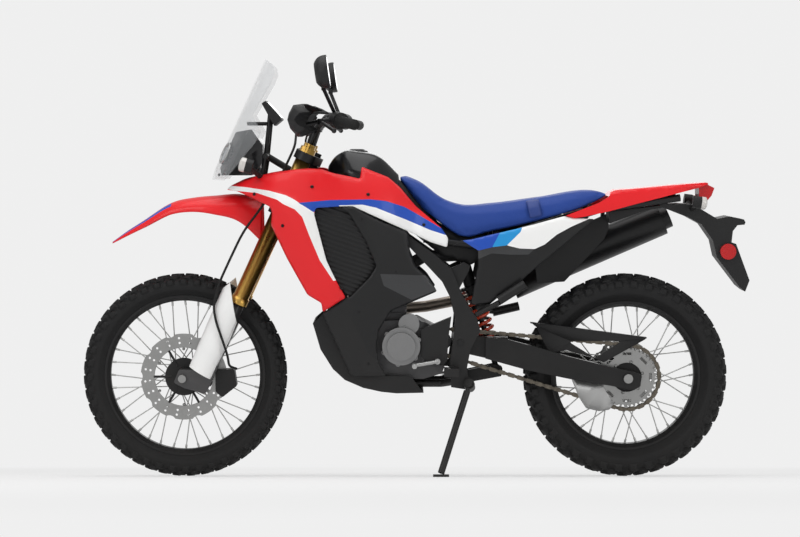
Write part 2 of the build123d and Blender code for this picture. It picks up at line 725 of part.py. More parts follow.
def chain_path(count):
    """Equal steps round both sprockets: (x, z) spots of the pins."""
    r_rear = pitch_radius(rear_teeth) + roller_r + tooth_gap
    r_front = pitch_radius(front_teeth) + roller_r + tooth_gap
    span = math.hypot(rear_axle_x - sprocket_x, rear_axle_z - sprocket_z)
    tilt = math.atan2(rear_axle_z - sprocket_z, rear_axle_x - sprocket_x)
    spread = math.acos((r_front - r_rear) / span)
    straight = math.sqrt(span ** 2 - (r_rear - r_front) ** 2)
    over_rear, over_front = 2 * spread, 2 * (math.pi - spread)
    runs = [straight, over_rear * r_rear, straight, over_front * r_front]
    spots = []
    for i in range(count):
        along = sum(runs) * i / count
        if along < runs[0]:
            centre, r, turn, ahead_by = (sprocket_x, sprocket_z), r_front, tilt + spread, along
        elif along < runs[0] + runs[1]:
            turn = tilt + spread - (along - runs[0]) / r_rear
            centre, r, ahead_by = (rear_axle_x, rear_axle_z), r_rear, 0.0
        elif along < sum(runs[:3]):
            centre, r, turn = (rear_axle_x, rear_axle_z), r_rear, tilt - spread
            ahead_by = along - runs[0] - runs[1]
        else:
            turn = tilt - spread - (along - sum(runs[:3])) / r_front
            centre, r, ahead_by = (sprocket_x, sprocket_z), r_front, 0.0
        spots.append((centre[0] + r * math.cos(turn) + ahead_by * math.sin(turn),
                      centre[1] + r * math.sin(turn) - ahead_by * math.cos(turn)))
    return spots


def beside(a, b, out):
    """A point beside b, square to the line from a to b."""
    run = math.hypot(b[0] - a[0], b[1] - a[1])
    return b[0] - (b[1] - a[1]) / run * out, b[1] + (b[0] - a[0]) / run * out


link_count = 108                           # an even number, as inner and outer links alternate
inner_link_height, outer_link_height = 9.0, 13.0
inner_link_width, outer_link_width = 11.0, 17.0


def chain():
    """Inner links as one flat-sided band, with every second link an outer pair around it."""
    pins = chain_path(link_count)
    after = pins[1:] + pins[:1]
    before = pins[-1:] + pins[:-1]
    half = inner_link_height / 2
    outer = [beside(a, p, half) for a, p in zip(before, pins)]
    inner = [beside(a, p, -half) for a, p in zip(before, pins)]
    wide = chain_y - inner_link_width / 2, chain_y + inner_link_width / 2
    band = slab(outer, *wide) - slab(inner, wide[0] - 1, wide[1] + 1)
    links = []
    for a, b in list(zip(pins, after))[::2]:
        run = math.hypot(b[0] - a[0], b[1] - a[1])
        ux, uz = (b[0] - a[0]) / run, (b[1] - a[1]) / run
        side = outer_link_height / 2
        shape = [(-5.5, 0), (-2, side), (run + 2, side), (run + 5.5, 0), (run + 2, -side), (-2, -side)]
        shape = [(a[0] + ux * s - uz * t, a[1] + uz * s + ux * t) for s, t in shape]
        links.append(slab(shape, chain_y - outer_link_width / 2, chain_y + outer_link_width / 2))
    return fused(band, *links)


# ---------------------------------------------------------------- front end, steered
hose_r = 4.0


def brake_hose():
    """The front brake line from the right-hand lever down the left fork leg to the caliper."""
    route = [
        grip_frame(1, 176) + Vector(-24, -14, 22), Vector(-318, 200, 1208), Vector(-352, 92, 1184),
        Vector(-356, -30, 1150), leg(842, 44, -92), leg(790, 44, -leg_y), leg(700, 46, -leg_y),
        leg(606, 62, -leg_y - 4), leg(520, 82, -leg_y - 6), leg(420, 84, -leg_y - 6),
        leg(330, 84, -leg_y - 8), leg(262, 70, -leg_y - 34), leg(222, 42, -leg_y - 55),
        leg(182, 4, -leg_y - 55), leg(132, -40, -leg_y - 36), leg(98, -58, -leg_y - 2),
        Vector(-553, -78, 366),
    ]
    runs = [(b - a).length for a, b in zip(route, route[1:])]
    radii = []
    for i in range(1, len(route) - 1):
        turn = (route[i] - route[i - 1]).get_angle(route[i + 1] - route[i])
        radii.append(0.45 * min(runs[i - 1], runs[i]) / math.tan(math.radians(turn / 2)))
    path = FilletPolyline(*route, radius=radii)
    return sweep(Plane(origin=path @ 0, z_dir=path % 0) * Circle(hose_r), path)


# ---------------------------------------------------------------- body panels
# x, then (z, half width) from the bottom edge to the top
fairing_stations = [
    (-600, (885, 36), (910, 44), (940, 46), (960, 40), (975, 24)),
    (-520, (860, 92), (900, 104), (940, 106), (975, 92), (1000, 62)),
    (-430, (780, 150), (860, 166), (930, 168), (985, 146), (1022, 112)),
    (-330, (630, 176), (760, 200), (890, 204), (965, 180), (1036, 146)),
    (-250, (550, 178), (700, 208), (860, 214), (960, 188), (1042, 144)),
    (-150, (560, 172), (700, 196), (860, 204), (960, 176), (1042, 136)),
    (-50, (600, 160), (740, 170), (860, 176), (950, 150), (1010, 112)),
    (50, (600, 140), (720, 138), (810, 130), (880, 112), (940, 92)),
    (150, (600, 132), (700, 130), (770, 126), (830, 110), (860, 98)),
]
fairing_outline = [
    (-585, 952), (-570, 966), (-523, 989), (-447, 1006), (-362, 1020), (-315, 1024),
    (-272, 1022), (-230, 1008), (-173, 997), (-146, 990), (-141, 1029), (-55, 995), (-17, 962),
    (33, 902), (117, 830), (140, 796), (136, 767), (82, 784), (8, 821), (-168, 903), (-206, 903),
    (-288, 898), (-293, 879), (-253, 728), (-220, 658), (-192, 608), (-267, 560), (-271, 590),
    (-316, 616), (-383, 735), (-418, 808), (-434, 841), (-430, 881), (-437, 900.5),
    (-489, 923.5), (-550, 949),
]
lower_cowl_outline = [
    (-207, 901), (-168, 901), (6, 819), (16, 746), (34, 704), (72, 671), (103, 625), (-48, 563),
    (-87, 499), (-94, 450), (-87, 391), (-62, 351), (-176, 351), (-268, 556), (-193, 605),
    (-178, 610), (-116, 672), (-93, 709), (-126, 789), (-180, 879),
]
lower_cowl_stations = [
    (-280, (340, 130), (450, 148), (560, 166), (700, 200), (920, 206)),
    (-150, (340, 144), (450, 156), (560, 168), (700, 190), (920, 194)),
    (-50, (340, 146), (450, 154), (560, 158), (740, 166), (920, 160)),
    (110, (340, 138), (450, 140), (600, 134), (720, 130), (920, 112)),
]
skid_outline = [(-301, 519), (-276, 434), (-236, 370), (-197, 334), (-137, 308), (-78, 295),
                (-28, 290), (60, 292), (18, 346), (-177, 349), (-268, 548)]
side_cover_outline = [(140, 764), (186, 789), (236, 757), (234, 705), (213, 586), (218, 579),
                      (275, 583), (325, 623), (379, 660), (429, 705), (528, 784), (617, 858),
                      (548, 861), (518, 868), (381, 832), (281, 809), (212, 792), (182, 790)]
side_cover_stations = [
    (120, (560, 130), (660, 130), (740, 128), (800, 116), (880, 104)),
    (260, (560, 134), (660, 138), (740, 138), (800, 130), (880, 118)),
    (420, (560, 130), (660, 134), (740, 134), (800, 130), (880, 116)),
    (630, (560, 100), (660, 102), (740, 102), (830, 98), (880, 92)),
]


def side_fairings():
    """The painted shrouds that run from the beak past the tank to the seat."""
    return both(cut_from_skin(skin(fairing_stations, panel_t), fairing_outline))


def lower_cowls():
    """The black inner cowls round the radiator and ahead of the engine."""
    return both(cut_from_skin(skin(lower_cowl_stations, panel_t), lower_cowl_outline))


def skid_plate():
    """The bash plate: floor, nose and turned-up sides."""
    body = slab(skid_outline, -124, 124)
    hollow = [(x + 5, z + 7) for x, z in skid_outline]
    return body - slab(hollow, -120, 120)


def side_covers():
    """The panels under the seat. The right one stops above the muffler."""
    left = cut_from_skin(skin(side_cover_stations, panel_t), side_cover_outline)
    a, b = Vector(*muffler_front), Vector(*muffler_back)
    along = (b - a).normalized()
    above = Vector(-along.Z, 0, along.X)
    start = a + above * (muffler_r + 12) - along * 400
    keep = Plane(origin=start, x_dir=along, z_dir=Vector(0, 1, 0))
    below = keep * Pos(600, 450, 0) * Box(1200, 900, 800)
    return together(left, other_side(left) - below)


def fuel_tank():
    """The tank, narrow between the shrouds, its floor clear of the frame spars."""
    stations = [
        (-254, (968, 40), (1000, 34), (1032, 10)),
        (-238, (962, 54), (1006, 52), (1052, 28)),
        (-212, (954, 92), (1012, 96), (1072, 62)),
        (-146, (938, 132), (1010, 128), (1075, 68)),
        (-80, (916, 116), (985, 112), (1057, 60)),
        (-22, (898, 86), (950, 80), (1002, 44)),
    ]
    pads = [rod((-190, side * 58, 925), (-190, side * 58, 960), 12) for side in (-1, 1)]
    cap = rod((-158, 0, 1060), (-158, 0, 1082), 30)
    return fused(filled(stations), cap, *pads)


def seat():
    """The closed seat pad on its base."""
    stations = [
        (-15, (984, 50), (996, 48), (1003, 34)),
        (33, (917, 84), (968, 74), (986, 46)),
        (123, (832, 100), (900, 84), (921, 56)),
        (182, (795, 112), (884, 94), (901, 62)),
        (284, (812, 124), (886, 114), (905, 78)),
        (439, (848, 118), (902, 110), (925, 82)),
        (624, (910, 82), (934, 76), (948, 56)),
        (661, (929, 62), (934, 58), (941, 48)),
    ]
    return loft([section(x, row) for x, *row in stations], ruled=True)


def windscreen():
    """The tall clear screen: a bent sheet cut to its outline."""
    foot, top = Vector(-622, 0, 1030), Vector(-459, 0, 1381)
    bend_r = 150.0
    along = (top - foot).normalized()
    back = Vector(along.Z, 0, -along.X)
    start = foot + back * bend_r - along * 80
    wall = rod(start, top + back * bend_r + along * 60, bend_r, bend_r - 3)
    outline = [(-632, 985), (-622, 1030), (-459, 1381), (-443, 1368), (-426, 1351), (-423, 1328),
               (-436, 1296), (-495, 1195), (-462, 1135), (-587, 984)]
    return wall & slab(outline, -136, 136)


lamp_y, lamp_r = 43.0, 36.0


def headlight():
    """The lamp housing with its two lenses, behind the screen's foot."""
    outline = [(-600, 1000), (-606, 1024), (-556, 1140), (-500, 1150), (-465, 1100), (-465, 1040),
               (-500, 1000)]
    foot = Vector(-612, 0, 1030)
    along = Vector(0.4212, 0, 0.907)
    back = Vector(along.Z, 0, -along.X)
    start = foot + back * 128 - along * 120
    rounded = rod(start, start + along * 400, 128)
    body = slab(outline, -96, 96) & rounded
    for side in (-1, 1):
        middle = Vector(-590, side * lamp_y, 1072)
        facing = (-back + Vector(0, side * 0.3, 0)).normalized()
        body -= rod(middle - facing * 14, middle + facing * 40, lamp_r, lamp_r - 6)
        body -= rod(middle - facing * 4, middle + facing * 40, lamp_r - 5)
    return body


def fairing_stay():
    """The frame that carries the lamp, screen and dials from the headstock."""
    root = leg(upper_clamp_at - 66, -fork_offset + headstock_r - 2)
    tip = Vector(-456, 0, 1062)
    body = rod(root, tip, 11)
    body += cross_rod(tip.X, tip.Z, -90, 90, 9)
    for side in (-1, 1):
        body += rod((tip.X, side * 60, tip.Z), (-442, side * 52, 1200), 7)
        body += rod((-446, side * 52, 1168), (-511.5, side * 96, 1168), 6)
        body += rod((tip.X, side * 84, tip.Z), (-470, side * 78, 972), 7)
    return fused(body, *stubs([(-470, 76, 972)], 7, filled(fairing_stations, panel_t)))


def meter():
    outline = [(-456, 1243), (-403, 1181), (-427, 1161), (-468, 1234)]
    return slab(outline, -78, 78)


def turn_signals():
    """Four indicators on rubber stalks."""
    made = []
    for side in (-1, 1):
        front = rod((-462, side * 90, 988), (-506, side * 176, 1032), 9)
        front -= filled(fairing_stations)
        front += rod((-528, side * 176, 1038), (-492, side * 176, 1028), 23)
        rear = rod((938, side * 50, 890), (948, side * 112, 908), 9)
        rear += rod((934, side * 116, 915), (974, side * 116, 910), 20)
        made += [front, rear]
    return together(*made)


tail_outline = [(522, 869), (630, 910), (664, 931), (676, 943), (689, 950), (747, 954), (875, 966),
                (990, 975), (992, 970), (958, 958), (850, 931), (751, 906), (664, 883), (585, 866),
                (551, 861)]
tail_stations = [
    (500, (840, 112), (880, 108), (990, 90)),
    (664, (870, 100), (920, 92), (990, 78)),
    (850, (900, 84), (950, 76), (1000, 62)),
    (1000, (930, 66), (965, 60), (1010, 50)),
]


def tail_room():
    """The room inside the tail, under its top and between its sides."""
    roof = [(x, z - (panel_t if z > 936 else 0)) for x, z in tail_outline[:8]]
    room = [(500, 820), *roof, (1010, 971), (1010, 820)]
    return filled(tail_stations, panel_t) & slab(room, -200, 200)


def tail_cowl():
    """The painted tail, a shell open underneath."""
    return (filled(tail_stations) & slab(tail_outline, -200, 200)) - tail_room()


def rear_fender():
    """The black inner mudguard and the number plate hanger."""
    arch = [(667, 880), (671, 842), (784, 884), (847, 894), (926, 863), (972, 838), (1010, 784),
            (1022, 731), (1097, 633), (1116, 618), (1130, 655), (1085, 775), (1070, 779),
            (1074, 817), (1089, 836), (1112, 838), (1115, 846), (1110, 855), (1060, 865),
            (1022, 857), (1006, 867), (964, 892), (940, 904), (900, 907), (847, 902), (760, 891)]
    pads = [box_between((835, y - 7, 896), (860, y + 7, 916)) for y in (-51, 51)]
    return fused(slab(arch, -58, 58), *pads)


def tail_light():
    """The stop lamp and the round reflector below it."""
    lamp = slab([(1013, 958), (1004, 933), (971, 894), (964, 893), (962, 959.4), (990, 969.3)], -52, 52)
    reflector = rod((1058, -58.3, 750), (1058, -70, 750), 26)
    return together(lamp, reflector)


# ---------------------------------------------------------------- exhaust, cooling, rear end
muffler_front, muffler_back = (362, 0, 632), (862, 0, 850)
muffler_y, muffler_r = 158.0, 55.0


def exhaust_pipe():
    """The header from the head round the right of the engine to the muffler."""
    route = [(-128, 34, 672), (-168, 52, 652), (-178, 84, 600), (-146, 108, 550),
             (-56, 120, 545), (70, 146, 554), (250, 150, 590), (366, 157, 634)]
    return tube(route, 19, 18)


muffler_along = (Vector(*muffler_back) - Vector(*muffler_front)).normalized()
outlet_r, outlet_depth = 16.0, 26.0


def muffler_outlet():
    """The inner end of the outlet."""
    return Vector(muffler_back[0], muffler_y - 8, muffler_back[2])


def muffler():
    """The canister with its stepped end cap and blind outlet."""
    front = Vector(muffler_front[0] - 4, muffler_y, muffler_front[2] - 2)
    back = muffler_outlet()
    body = rod(front, back, muffler_r) + rod(back, back + muffler_along * outlet_depth, 40)
    return body - rod(back, back + muffler_along * (outlet_depth + 2), outlet_r)


def muffler_guard():
    """The heat shield on the muffler's inner side."""
    shield = slab([(442, 636), (533, 641), (666, 784), (680, 819), (680, 872), (606, 838), (528, 780),
                   (434, 700)], 89, 92.5, 6)
    return shield + cross_rod(480, 680, 90, 112, 9)


fin_pitch, fin_count = 13.0, 21


def radiator():
    """Core of level fins between its side tanks, behind the left shroud."""
    back = Vector(40, 0, -280).normalized()

    def layer(start, end, y_low, y_high, front, rear):
        """A slab of the core between two distances down its face."""
        top = Vector(-252, 0, 892)
        a, b = top + back * start, top + back * end
        return slab([(a.X + front, a.Z), (a.X + rear, a.Z), (b.X + rear, b.Z), (b.X + front, b.Z)],
                    y_low, y_high)
    depth = 282.0
    body = layer(0, depth, -142, -52, 14, 30)
    fins = [layer(8 + fin_pitch * i, 10.5 + fin_pitch * i, -142, -52, 2, 16) for i in range(fin_count)]
    body = fused(body, *fins, layer(0, depth, -150, -138, -6, 44), layer(0, depth, -56, -44, -6, 44),
                 layer(-2, 4, -142, -52, 0, 38), layer(depth - 4, depth + 2, -142, -52, 0, 38))
    stay = rod((-236, -60, 760), (-284, -12, 752), 8)
    return body + stay


def rear_shock():
    """Damper, spring rings and the linkage under the swingarm."""
    top, low = Vector(196, 0, 700), Vector(304, 0, 356)
    along = (low - top).normalized()
    body = rod(top, top + along * 190, 21)
    body += rod(top + along * 180, low, 9)
    body += rod(low - along * 70, low - along * 60, 34)
    body += rod(top + along * 70, top + along * 80, 36)
    body += cross_rod(top.X, top.Z, -18, 18, 16)
    body += cross_rod(low.X, low.Z, -18, 18, 16)
    body -= cross_rod(top.X, top.Z, -30, 30, 12 + run_fit)
    body -= cross_rod(low.X, low.Z, -20, 20, 7 + run_fit)
    wire, coil_r = 5.5, 29.0
    spring_low, spring_high = 80.1 + wire, (low - top).length - 70.1 - wire
    helix = Helix(pitch=24, height=spring_high - spring_low, radius=coil_r)
    coil = sweep(Plane(origin=helix @ 0, z_dir=helix % 0) * Circle(wire), helix, is_frenet=True)
    return body, Plane(origin=top + along * spring_low, z_dir=along) * coil


def shock_linkage():
    """The rocker and pull rods between shock, swingarm and frame."""
    made = []
    for side in (-1, 1):
        low_y, high_y = sorted((side * (18 + gap), side * 28))
        plate = slab([(156, 330), (176, 310), (318, 336), (322, 364), (296, 376), (176, 350)],
                     low_y, high_y, 5)
        made.append(plate - cross_rod(176, 330, -100, 100, 12 + run_fit))
    made.append(cross_rod(304, 356, -34, 34, 7))
    return fused(*made)


def rear_caliper():
    """The rear brake caliper on its bracket ahead of the axle, right side."""
    body = slab([(612, 326), (604, 372), (640, 396), (656, 366), (650, 330)], rear_disc_y - 20,
                88 - gap, 6)
    slot = at_rear(cross_rod(0, 0, rear_disc_y - disc_t, rear_disc_y + disc_t, rear_disc_r + 4))
    return body - slot


def chain_guard():
    """The chain's upper cover and the slider plate below the swingarm."""
    cover = slab([(410, 520), (791, 470), (785, 463), (651, 388), (617, 403), (527, 428),
                  (472, 418), (430, 503)], guard_y, guard_y + 2.5)
    hole = slab([(532, 458), (711, 458), (621, 403)], -100, -80, 4)
    top = slab([(410, 520), (791, 470), (790, 466), (410, 516)], guard_y, -66)
    plate = slab([(547, 345), (547, 327), (570, 272), (593, 237), (635, 227), (670, 232), (684, 252),
                  (650, 305), (650, 330)], guard_y, guard_y + 2.5, 8)
    guard = cover - hole + top
    return together(guard, plate)


def footpegs():
    """Rider's pegs at the pivot plates and the folded passenger pegs behind."""
    made = []
    for side in (-1, 1):
        base = cross_rod(150, 366, *sorted((side * (122 + gap), side * 146)), 14)
        low_y, high_y = sorted((side * 140, side * 206))
        tread = box_between((126, low_y, 352), (174, high_y, 378))
        made.append(base + tread)
    left = rod((232, -122 - gap, 548), (306, -152, 590), 9) + rod((304, -152, 596), (388, -158, 650), 15)
    right = rod((232, 122 + gap, 544), (306, 152, 536), 9) + rod((296, 152, 534), (384, 158, 554), 15)
    made += [left, right]
    return together(*made)


def foot_controls():
    """The shift lever on the left and the brake pedal on the right."""
    shift = rod((105, -126.3, 396), (105, -150, 396), 9)
    shift += rod((105, -146, 396), (30, -150, 384), 6)
    shift += rod((30, -140, 384), (30, -186, 384), 8)
    brake = rod((172, 122 + gap, 324), (172, 138, 324), 9)
    brake += rod((172, 132, 324), (60, 136, 338), 6) + rod((60, 136, 338), (-4, 148, 370), 6)
    brake += rod((-4, 142, 370), (-4, 188, 370), 9)
    return together(shift, brake)


# ---------------------------------------------------------------- side stand
lean_slope = math.tan(math.radians(lean))
floor_normal = Vector(0, math.sin(math.radians(lean)), math.cos(math.radians(lean)))
stand_top = Vector(*stand_pivot)
stand_down = Vector(-math.tan(math.radians(stand_forward)), -math.tan(math.radians(stand_splay)), -1)
stand_foot = stand_top + stand_down * ((stand_top.Z + lean_slope * stand_top.Y)
                                       / (1 + lean_slope * -stand_down.Y))
stand_folded = Vector(0.963, -0.03, 0.268).normalized()
stand_axis = stand_down.cross(stand_folded).normalized()


def side_stand():
    """The stand's leg, down, with its foot flat on the floor."""
    eye = rod(stand_top - stand_axis * 7, stand_top + stand_axis * 7, 18)
    leg_end = stand_foot + floor_normal * 12
    along = (leg_end - stand_top).normalized()
    body = eye + rod(stand_top, stand_top + along * 40, 7)
    body += rod(stand_top + along * 24, leg_end, stand_leg_r)
    body += rod(stand_foot, stand_foot + floor_normal * 8, 26)
    bore = rod(stand_top - stand_axis * 20, stand_top + stand_axis * 20, 7 + run_fit)
    return body - bore


def stand_mount():
    """The boss and pin that carry the side stand."""
    boss = rod(stand_top - stand_axis * (7 + gap), stand_top - stand_axis * 36, 16)
    pin = rod(stand_top - stand_axis * 20, stand_top + stand_axis * 12, 7)
    head = rod(stand_top + stand_axis * (7 + gap), stand_top + stand_axis * 13, 12)
    return fused(boss, pin, head)


def everything():
    """Every node by name, upright."""
    nodes = {}
    nodes["front_tyre"] = at_front(tyre(front_tyre_r, front_tyre_w, front_rim_r, front_rim_w))
    nodes["front_rim"] = at_front(rim(front_rim_r, front_rim_w))
    nodes["front_hub"] = cut_back(at_front(front_hub()), nodes["front_rim"], at_front(front_disc()))
    nodes["front_disc"] = at_front(front_disc())
    nodes["rear_tyre"] = at_rear(tyre(rear_tyre_r, rear_tyre_w, rear_rim_r, rear_rim_w))
    nodes["rear_rim"] = at_rear(rim(rear_rim_r, rear_rim_w))
    nodes["rear_hub"] = at_rear(rear_hub()) - nodes["rear_rim"]
    nodes["rear_sprocket"] = at_rear(rear_sprocket())
    nodes["rear_disc"] = at_rear(rear_disc())
    nodes["fork_tubes"] = fork_tubes()
    nodes["fork_sliders"] = fork_sliders()
    nodes["fork_guards"] = fork_guards() - nodes["fork_sliders"]
    nodes["steering_clamps"] = steering_clamps()
    nodes["front_axle"] = front_axle()
    nodes["handlebar"] = handlebar()
    nodes["grips"] = grips()
    nodes["switches"] = switches()
    nodes["levers"] = levers() - nodes["handlebar"]
    nodes["hand_guards"] = hand_guards()
    nodes["mirrors"] = mirrors() - nodes["levers"]
    nodes["front_fender"] = front_fender()
    nodes["front_caliper"] = front_caliper() - nodes["fork_sliders"]
    nodes["brake_hose"] = brake_hose()
    nodes["main_frame"], nodes["swingarm_pivot"] = frame_tubes()
    nodes["seat"] = seat()
    nodes["muffler"] = muffler()
    nodes["subframe"] = subframe() - nodes["seat"] - nodes["muffler"]
    nodes["skid_plate"] = skid_plate()
    nodes["main_frame"] -= nodes["skid_plate"]
    nodes["engine_case"] = engine_case()
    nodes["muffler_guard"] = cut_back(muffler_guard(), nodes["muffler"], nodes["subframe"])
    nodes["cylinder"] = cylinder() - nodes["engine_case"]
    nodes["airbox"] = cut_back(airbox(), nodes["cylinder"], nodes["subframe"], nodes["main_frame"],
                               nodes["seat"])
    nodes["engine_covers"] = engine_covers()
    nodes["sprocket_cover"] = sprocket_cover()
    nodes["swingarm"] = swingarm()
    nodes["rear_axle"] = rear_axle()
    nodes["chain"] = chain()
    nodes["chain_guard"] = chain_guard()
    nodes["rear_shock"], nodes["shock_spring"] = rear_shock()
    nodes["shock_linkage"] = shock_linkage()
    nodes["rear_caliper"] = rear_caliper()
    nodes["footpegs"] = footpegs() - nodes["main_frame"] - nodes["subframe"]
    nodes["foot_controls"] = foot_controls()
    nodes["radiator"] = radiator() - nodes["main_frame"]
    nodes["exhaust_pipe"] = exhaust_pipe() - nodes["cylinder"] - nodes["muffler"]
    nodes["fuel_tank"] = fuel_tank() - nodes["main_frame"]
    nodes["side_fairings"] = side_fairings()
    nodes["lower_cowls"] = lower_cowls()
    nodes["side_covers"] = side_covers()
    nodes["tail_cowl"] = tail_cowl()
    nodes["rear_fender"] = rear_fender() - nodes["subframe"]
    nodes["tail_light"] = tail_light()
    nodes["turn_signals"] = turn_signals() - nodes["rear_fender"]
    nodes["windscreen"] = windscreen()
    nodes["headlight"] = headlight()
    nodes["meter"] = meter()
    nodes["fairing_stay"] = cut_back(fairing_stay(), nodes["main_frame"], nodes["meter"],
                                      nodes["windscreen"], nodes["headlight"])
    nodes["side_stand"] = side_stand()
    return nodes


def park(nodes):
    """Leans every node over onto the stand and brings the origin under the middle of the whole."""
    leaning = {name: Rot(lean, 0, 0) * shape for name, shape in nodes.items()}
    low, high = reach(leaning.values())
    shift = Pos(-(low[0] + high[0]) / 2, -(low[1] + high[1]) / 2, 0)
    return {name: shift * shape for name, shape in leaning.items()}, shift


def reach(shapes):
    """The lowest and highest corner of all the shapes together."""
    boxes = [shape.bounding_box() for shape in shapes]
    low = [min(getattr(b.min, k) for b in boxes) for k in "XYZ"]
    high = [max(getattr(b.max, k) for b in boxes) for k in "XYZ"]
    return low, high


if __name__ == "__main__":
    os.makedirs("parts", exist_ok=True)
    parked, shift = park(everything())
    for name, shape in parked.items():
        export_step(shape, f"parts/{name}.step")
    print("shifted by", shift.position)
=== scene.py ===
import bpy
import bmesh
import functools
import json
import math
import numpy as np
from mathutils import Matrix, Vector
from mathutils.geometry import delaunay_2d_cdt


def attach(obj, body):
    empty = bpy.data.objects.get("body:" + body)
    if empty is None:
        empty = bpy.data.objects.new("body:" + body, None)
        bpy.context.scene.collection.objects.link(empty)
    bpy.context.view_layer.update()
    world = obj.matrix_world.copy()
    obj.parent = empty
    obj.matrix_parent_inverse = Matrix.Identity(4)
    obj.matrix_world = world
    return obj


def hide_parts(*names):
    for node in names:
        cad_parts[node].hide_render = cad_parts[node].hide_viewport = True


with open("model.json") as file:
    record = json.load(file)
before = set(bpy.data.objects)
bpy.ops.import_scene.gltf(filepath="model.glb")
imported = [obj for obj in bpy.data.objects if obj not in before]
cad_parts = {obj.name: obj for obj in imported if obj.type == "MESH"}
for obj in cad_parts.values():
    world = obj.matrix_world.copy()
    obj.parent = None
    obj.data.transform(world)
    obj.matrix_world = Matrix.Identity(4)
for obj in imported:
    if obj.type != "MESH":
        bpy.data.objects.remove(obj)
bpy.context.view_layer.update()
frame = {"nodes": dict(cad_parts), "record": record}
print("frame loaded")

# the leaning bike: pieces are drawn upright in millimetres and leaned over as the frame is
bike = {"axleX": 727.5, "wheelR": 338.0, "mm": 0.001}
behaviour = frame["record"]["behaviour"]
jointOf = {joint["name"]: joint for joint in behaviour["joints"]}
bodyOf = {nodeName: body for body, members in behaviour["bodies"].items() for nodeName in members}
spin = jointOf["rear_wheel_spin"]
leanAngle = math.atan2(spin["axis"][2], spin["axis"][1])
leanTurn = np.array(Matrix.Rotation(leanAngle, 3, "X"))
shift = np.array(spin["pos_m"]) - leanTurn @ (np.array([bike["axleX"], 0, bike["wheelR"]]) * bike["mm"])


def leaned(points):  # upright millimetres to the leaning frame's metres
    return np.asarray(points, float) * bike["mm"] @ leanTurn.T + shift


def newGroup(name, inputs, outputs):  # the sockets as "Label": "Color", "Float" or "Vector"
    group = bpy.data.node_groups.new(name, "ShaderNodeTree")
    for way, sockets in (("INPUT", inputs), ("OUTPUT", outputs)):
        for label, kind in sockets.items():
            group.interface.new_socket(name=label, in_out=way, socket_type="NodeSocket" + kind)
    return group


class Nodes:  # places nodes in a tree; an input is given a value, or a socket to link
    def __init__(self, tree):
        self.tree = tree

    def add(self, kind, inputs=None, **props):
        node = self.tree.nodes.new(kind if kind.startswith("NodeGroup") else "ShaderNode" + kind)
        for key, value in props.items():
            setattr(node, key, value)
        for key, value in (inputs or {}).items():
            if isinstance(value, bpy.types.NodeSocket):
                self.tree.links.new(value, node.inputs[key])
            else:
                node.inputs[key].default_value = value
        return node

    def maths(self, operation, *terms, clamp=False):
        return self.add("Math", dict(enumerate(terms)), operation=operation, use_clamp=clamp).outputs[0]

    def vectors(self, operation, *terms):
        return self.add("VectorMath", dict(enumerate(terms)), operation=operation).outputs

    def mixed(self, share, first, second):  # two colours
        return self.add("Mix", {"Factor": share, 6: first, 7: second}, data_type="RGBA").outputs[2]

    def mapped(self, value, fromMin=0.0, fromMax=1.0, toMin=0.0, toMax=1.0, **props):
        ends = {"From Min": fromMin, "From Max": fromMax, "To Min": toMin, "To Max": toMax}
        return self.add("MapRange", {"Value": value, **ends}, **props).outputs["Result"]

    def noise(self, scale, detail, roughness=0.5):  # clouds through the object's own space
        inputs = {"Vector": self.spot(), "Scale": scale, "Detail": detail, "Roughness": roughness}
        return self.add("TexNoise", inputs).outputs["Fac"]

    def spot(self):
        return self.add("TexCoord").outputs["Object"]


lifeKeys = ("driftScale", "drift", "rough", "roughDrift", "grainScale", "grain")


def buildSurfaceLife():  # slow colour drift, patchy roughness, a fine grain and softened edges
    group = newGroup("surfaceLife", {"color": "Color", "worn": "Color", **dict.fromkeys(lifeKeys, "Float")},
                     {"color": "Color", "rough": "Float", "normal": "Vector"})
    n = Nodes(group)
    entry = n.add("NodeGroupInput").outputs
    drift = n.mapped(n.noise(entry["driftScale"], 5.0, 0.6), fromMin=0.35, fromMax=0.7)
    share = n.maths("MULTIPLY", drift, entry["drift"])
    rough = n.maths("MULTIPLY_ADD", drift, entry["roughDrift"], entry["rough"])
    edge = n.add("Bevel", {"Radius": 0.0009}, samples=4).outputs["Normal"]
    bump = n.add("Bump", {"Distance": 0.0006, "Height": n.noise(entry["grainScale"], 3.0), "Normal": edge,
                          "Strength": entry["grain"]}).outputs["Normal"]
    color = n.mixed(share, entry["color"], entry["worn"])
    n.add("NodeGroupOutput", {"color": color, "rough": rough, "normal": bump})
    return group


def buildRoadDust():  # a pale film that thins out upwards from the road
    inputs = {"color": "Color", "dustColor": "Color", "dustTop": "Float", "dust": "Float"}
    group = newGroup("roadDust", inputs, {"color": "Color"})
    n = Nodes(group)
    entry = n.add("NodeGroupInput").outputs
    height = n.add("SeparateXYZ", {0: n.spot()}).outputs["Z"]
    low = n.mapped(height, fromMax=entry["dustTop"], toMin=1.0, toMax=0.0)
    cloudy = n.maths("MULTIPLY", low, n.noise(14.0, 6.0))
    share = n.maths("MULTIPLY", cloudy, entry["dust"])
    n.add("NodeGroupOutput", {"color": n.mixed(share, entry["color"], entry["dustColor"])})
    return group


surfaceLife, roadDust = buildSurfaceLife(), buildRoadDust()

# what a finish has where it says nothing else
commonLook = dict(driftScale=7.0, drift=0.45, roughDrift=0.09, grainScale=900.0, metal=0.0, coat=0.0,
                  coatRough=0.06, spec=0.5, dust=0.0, dustColor=(0.34, 0.29, 0.23, 1), dustTop=0.7)


def surface(color, worn, rough, grain, **more):  # grain is the depth of its fine bumps
    return {**commonLook, "color": (*color, 1), "worn": (*worn, 1), "rough": rough, "grain": grain, **more}


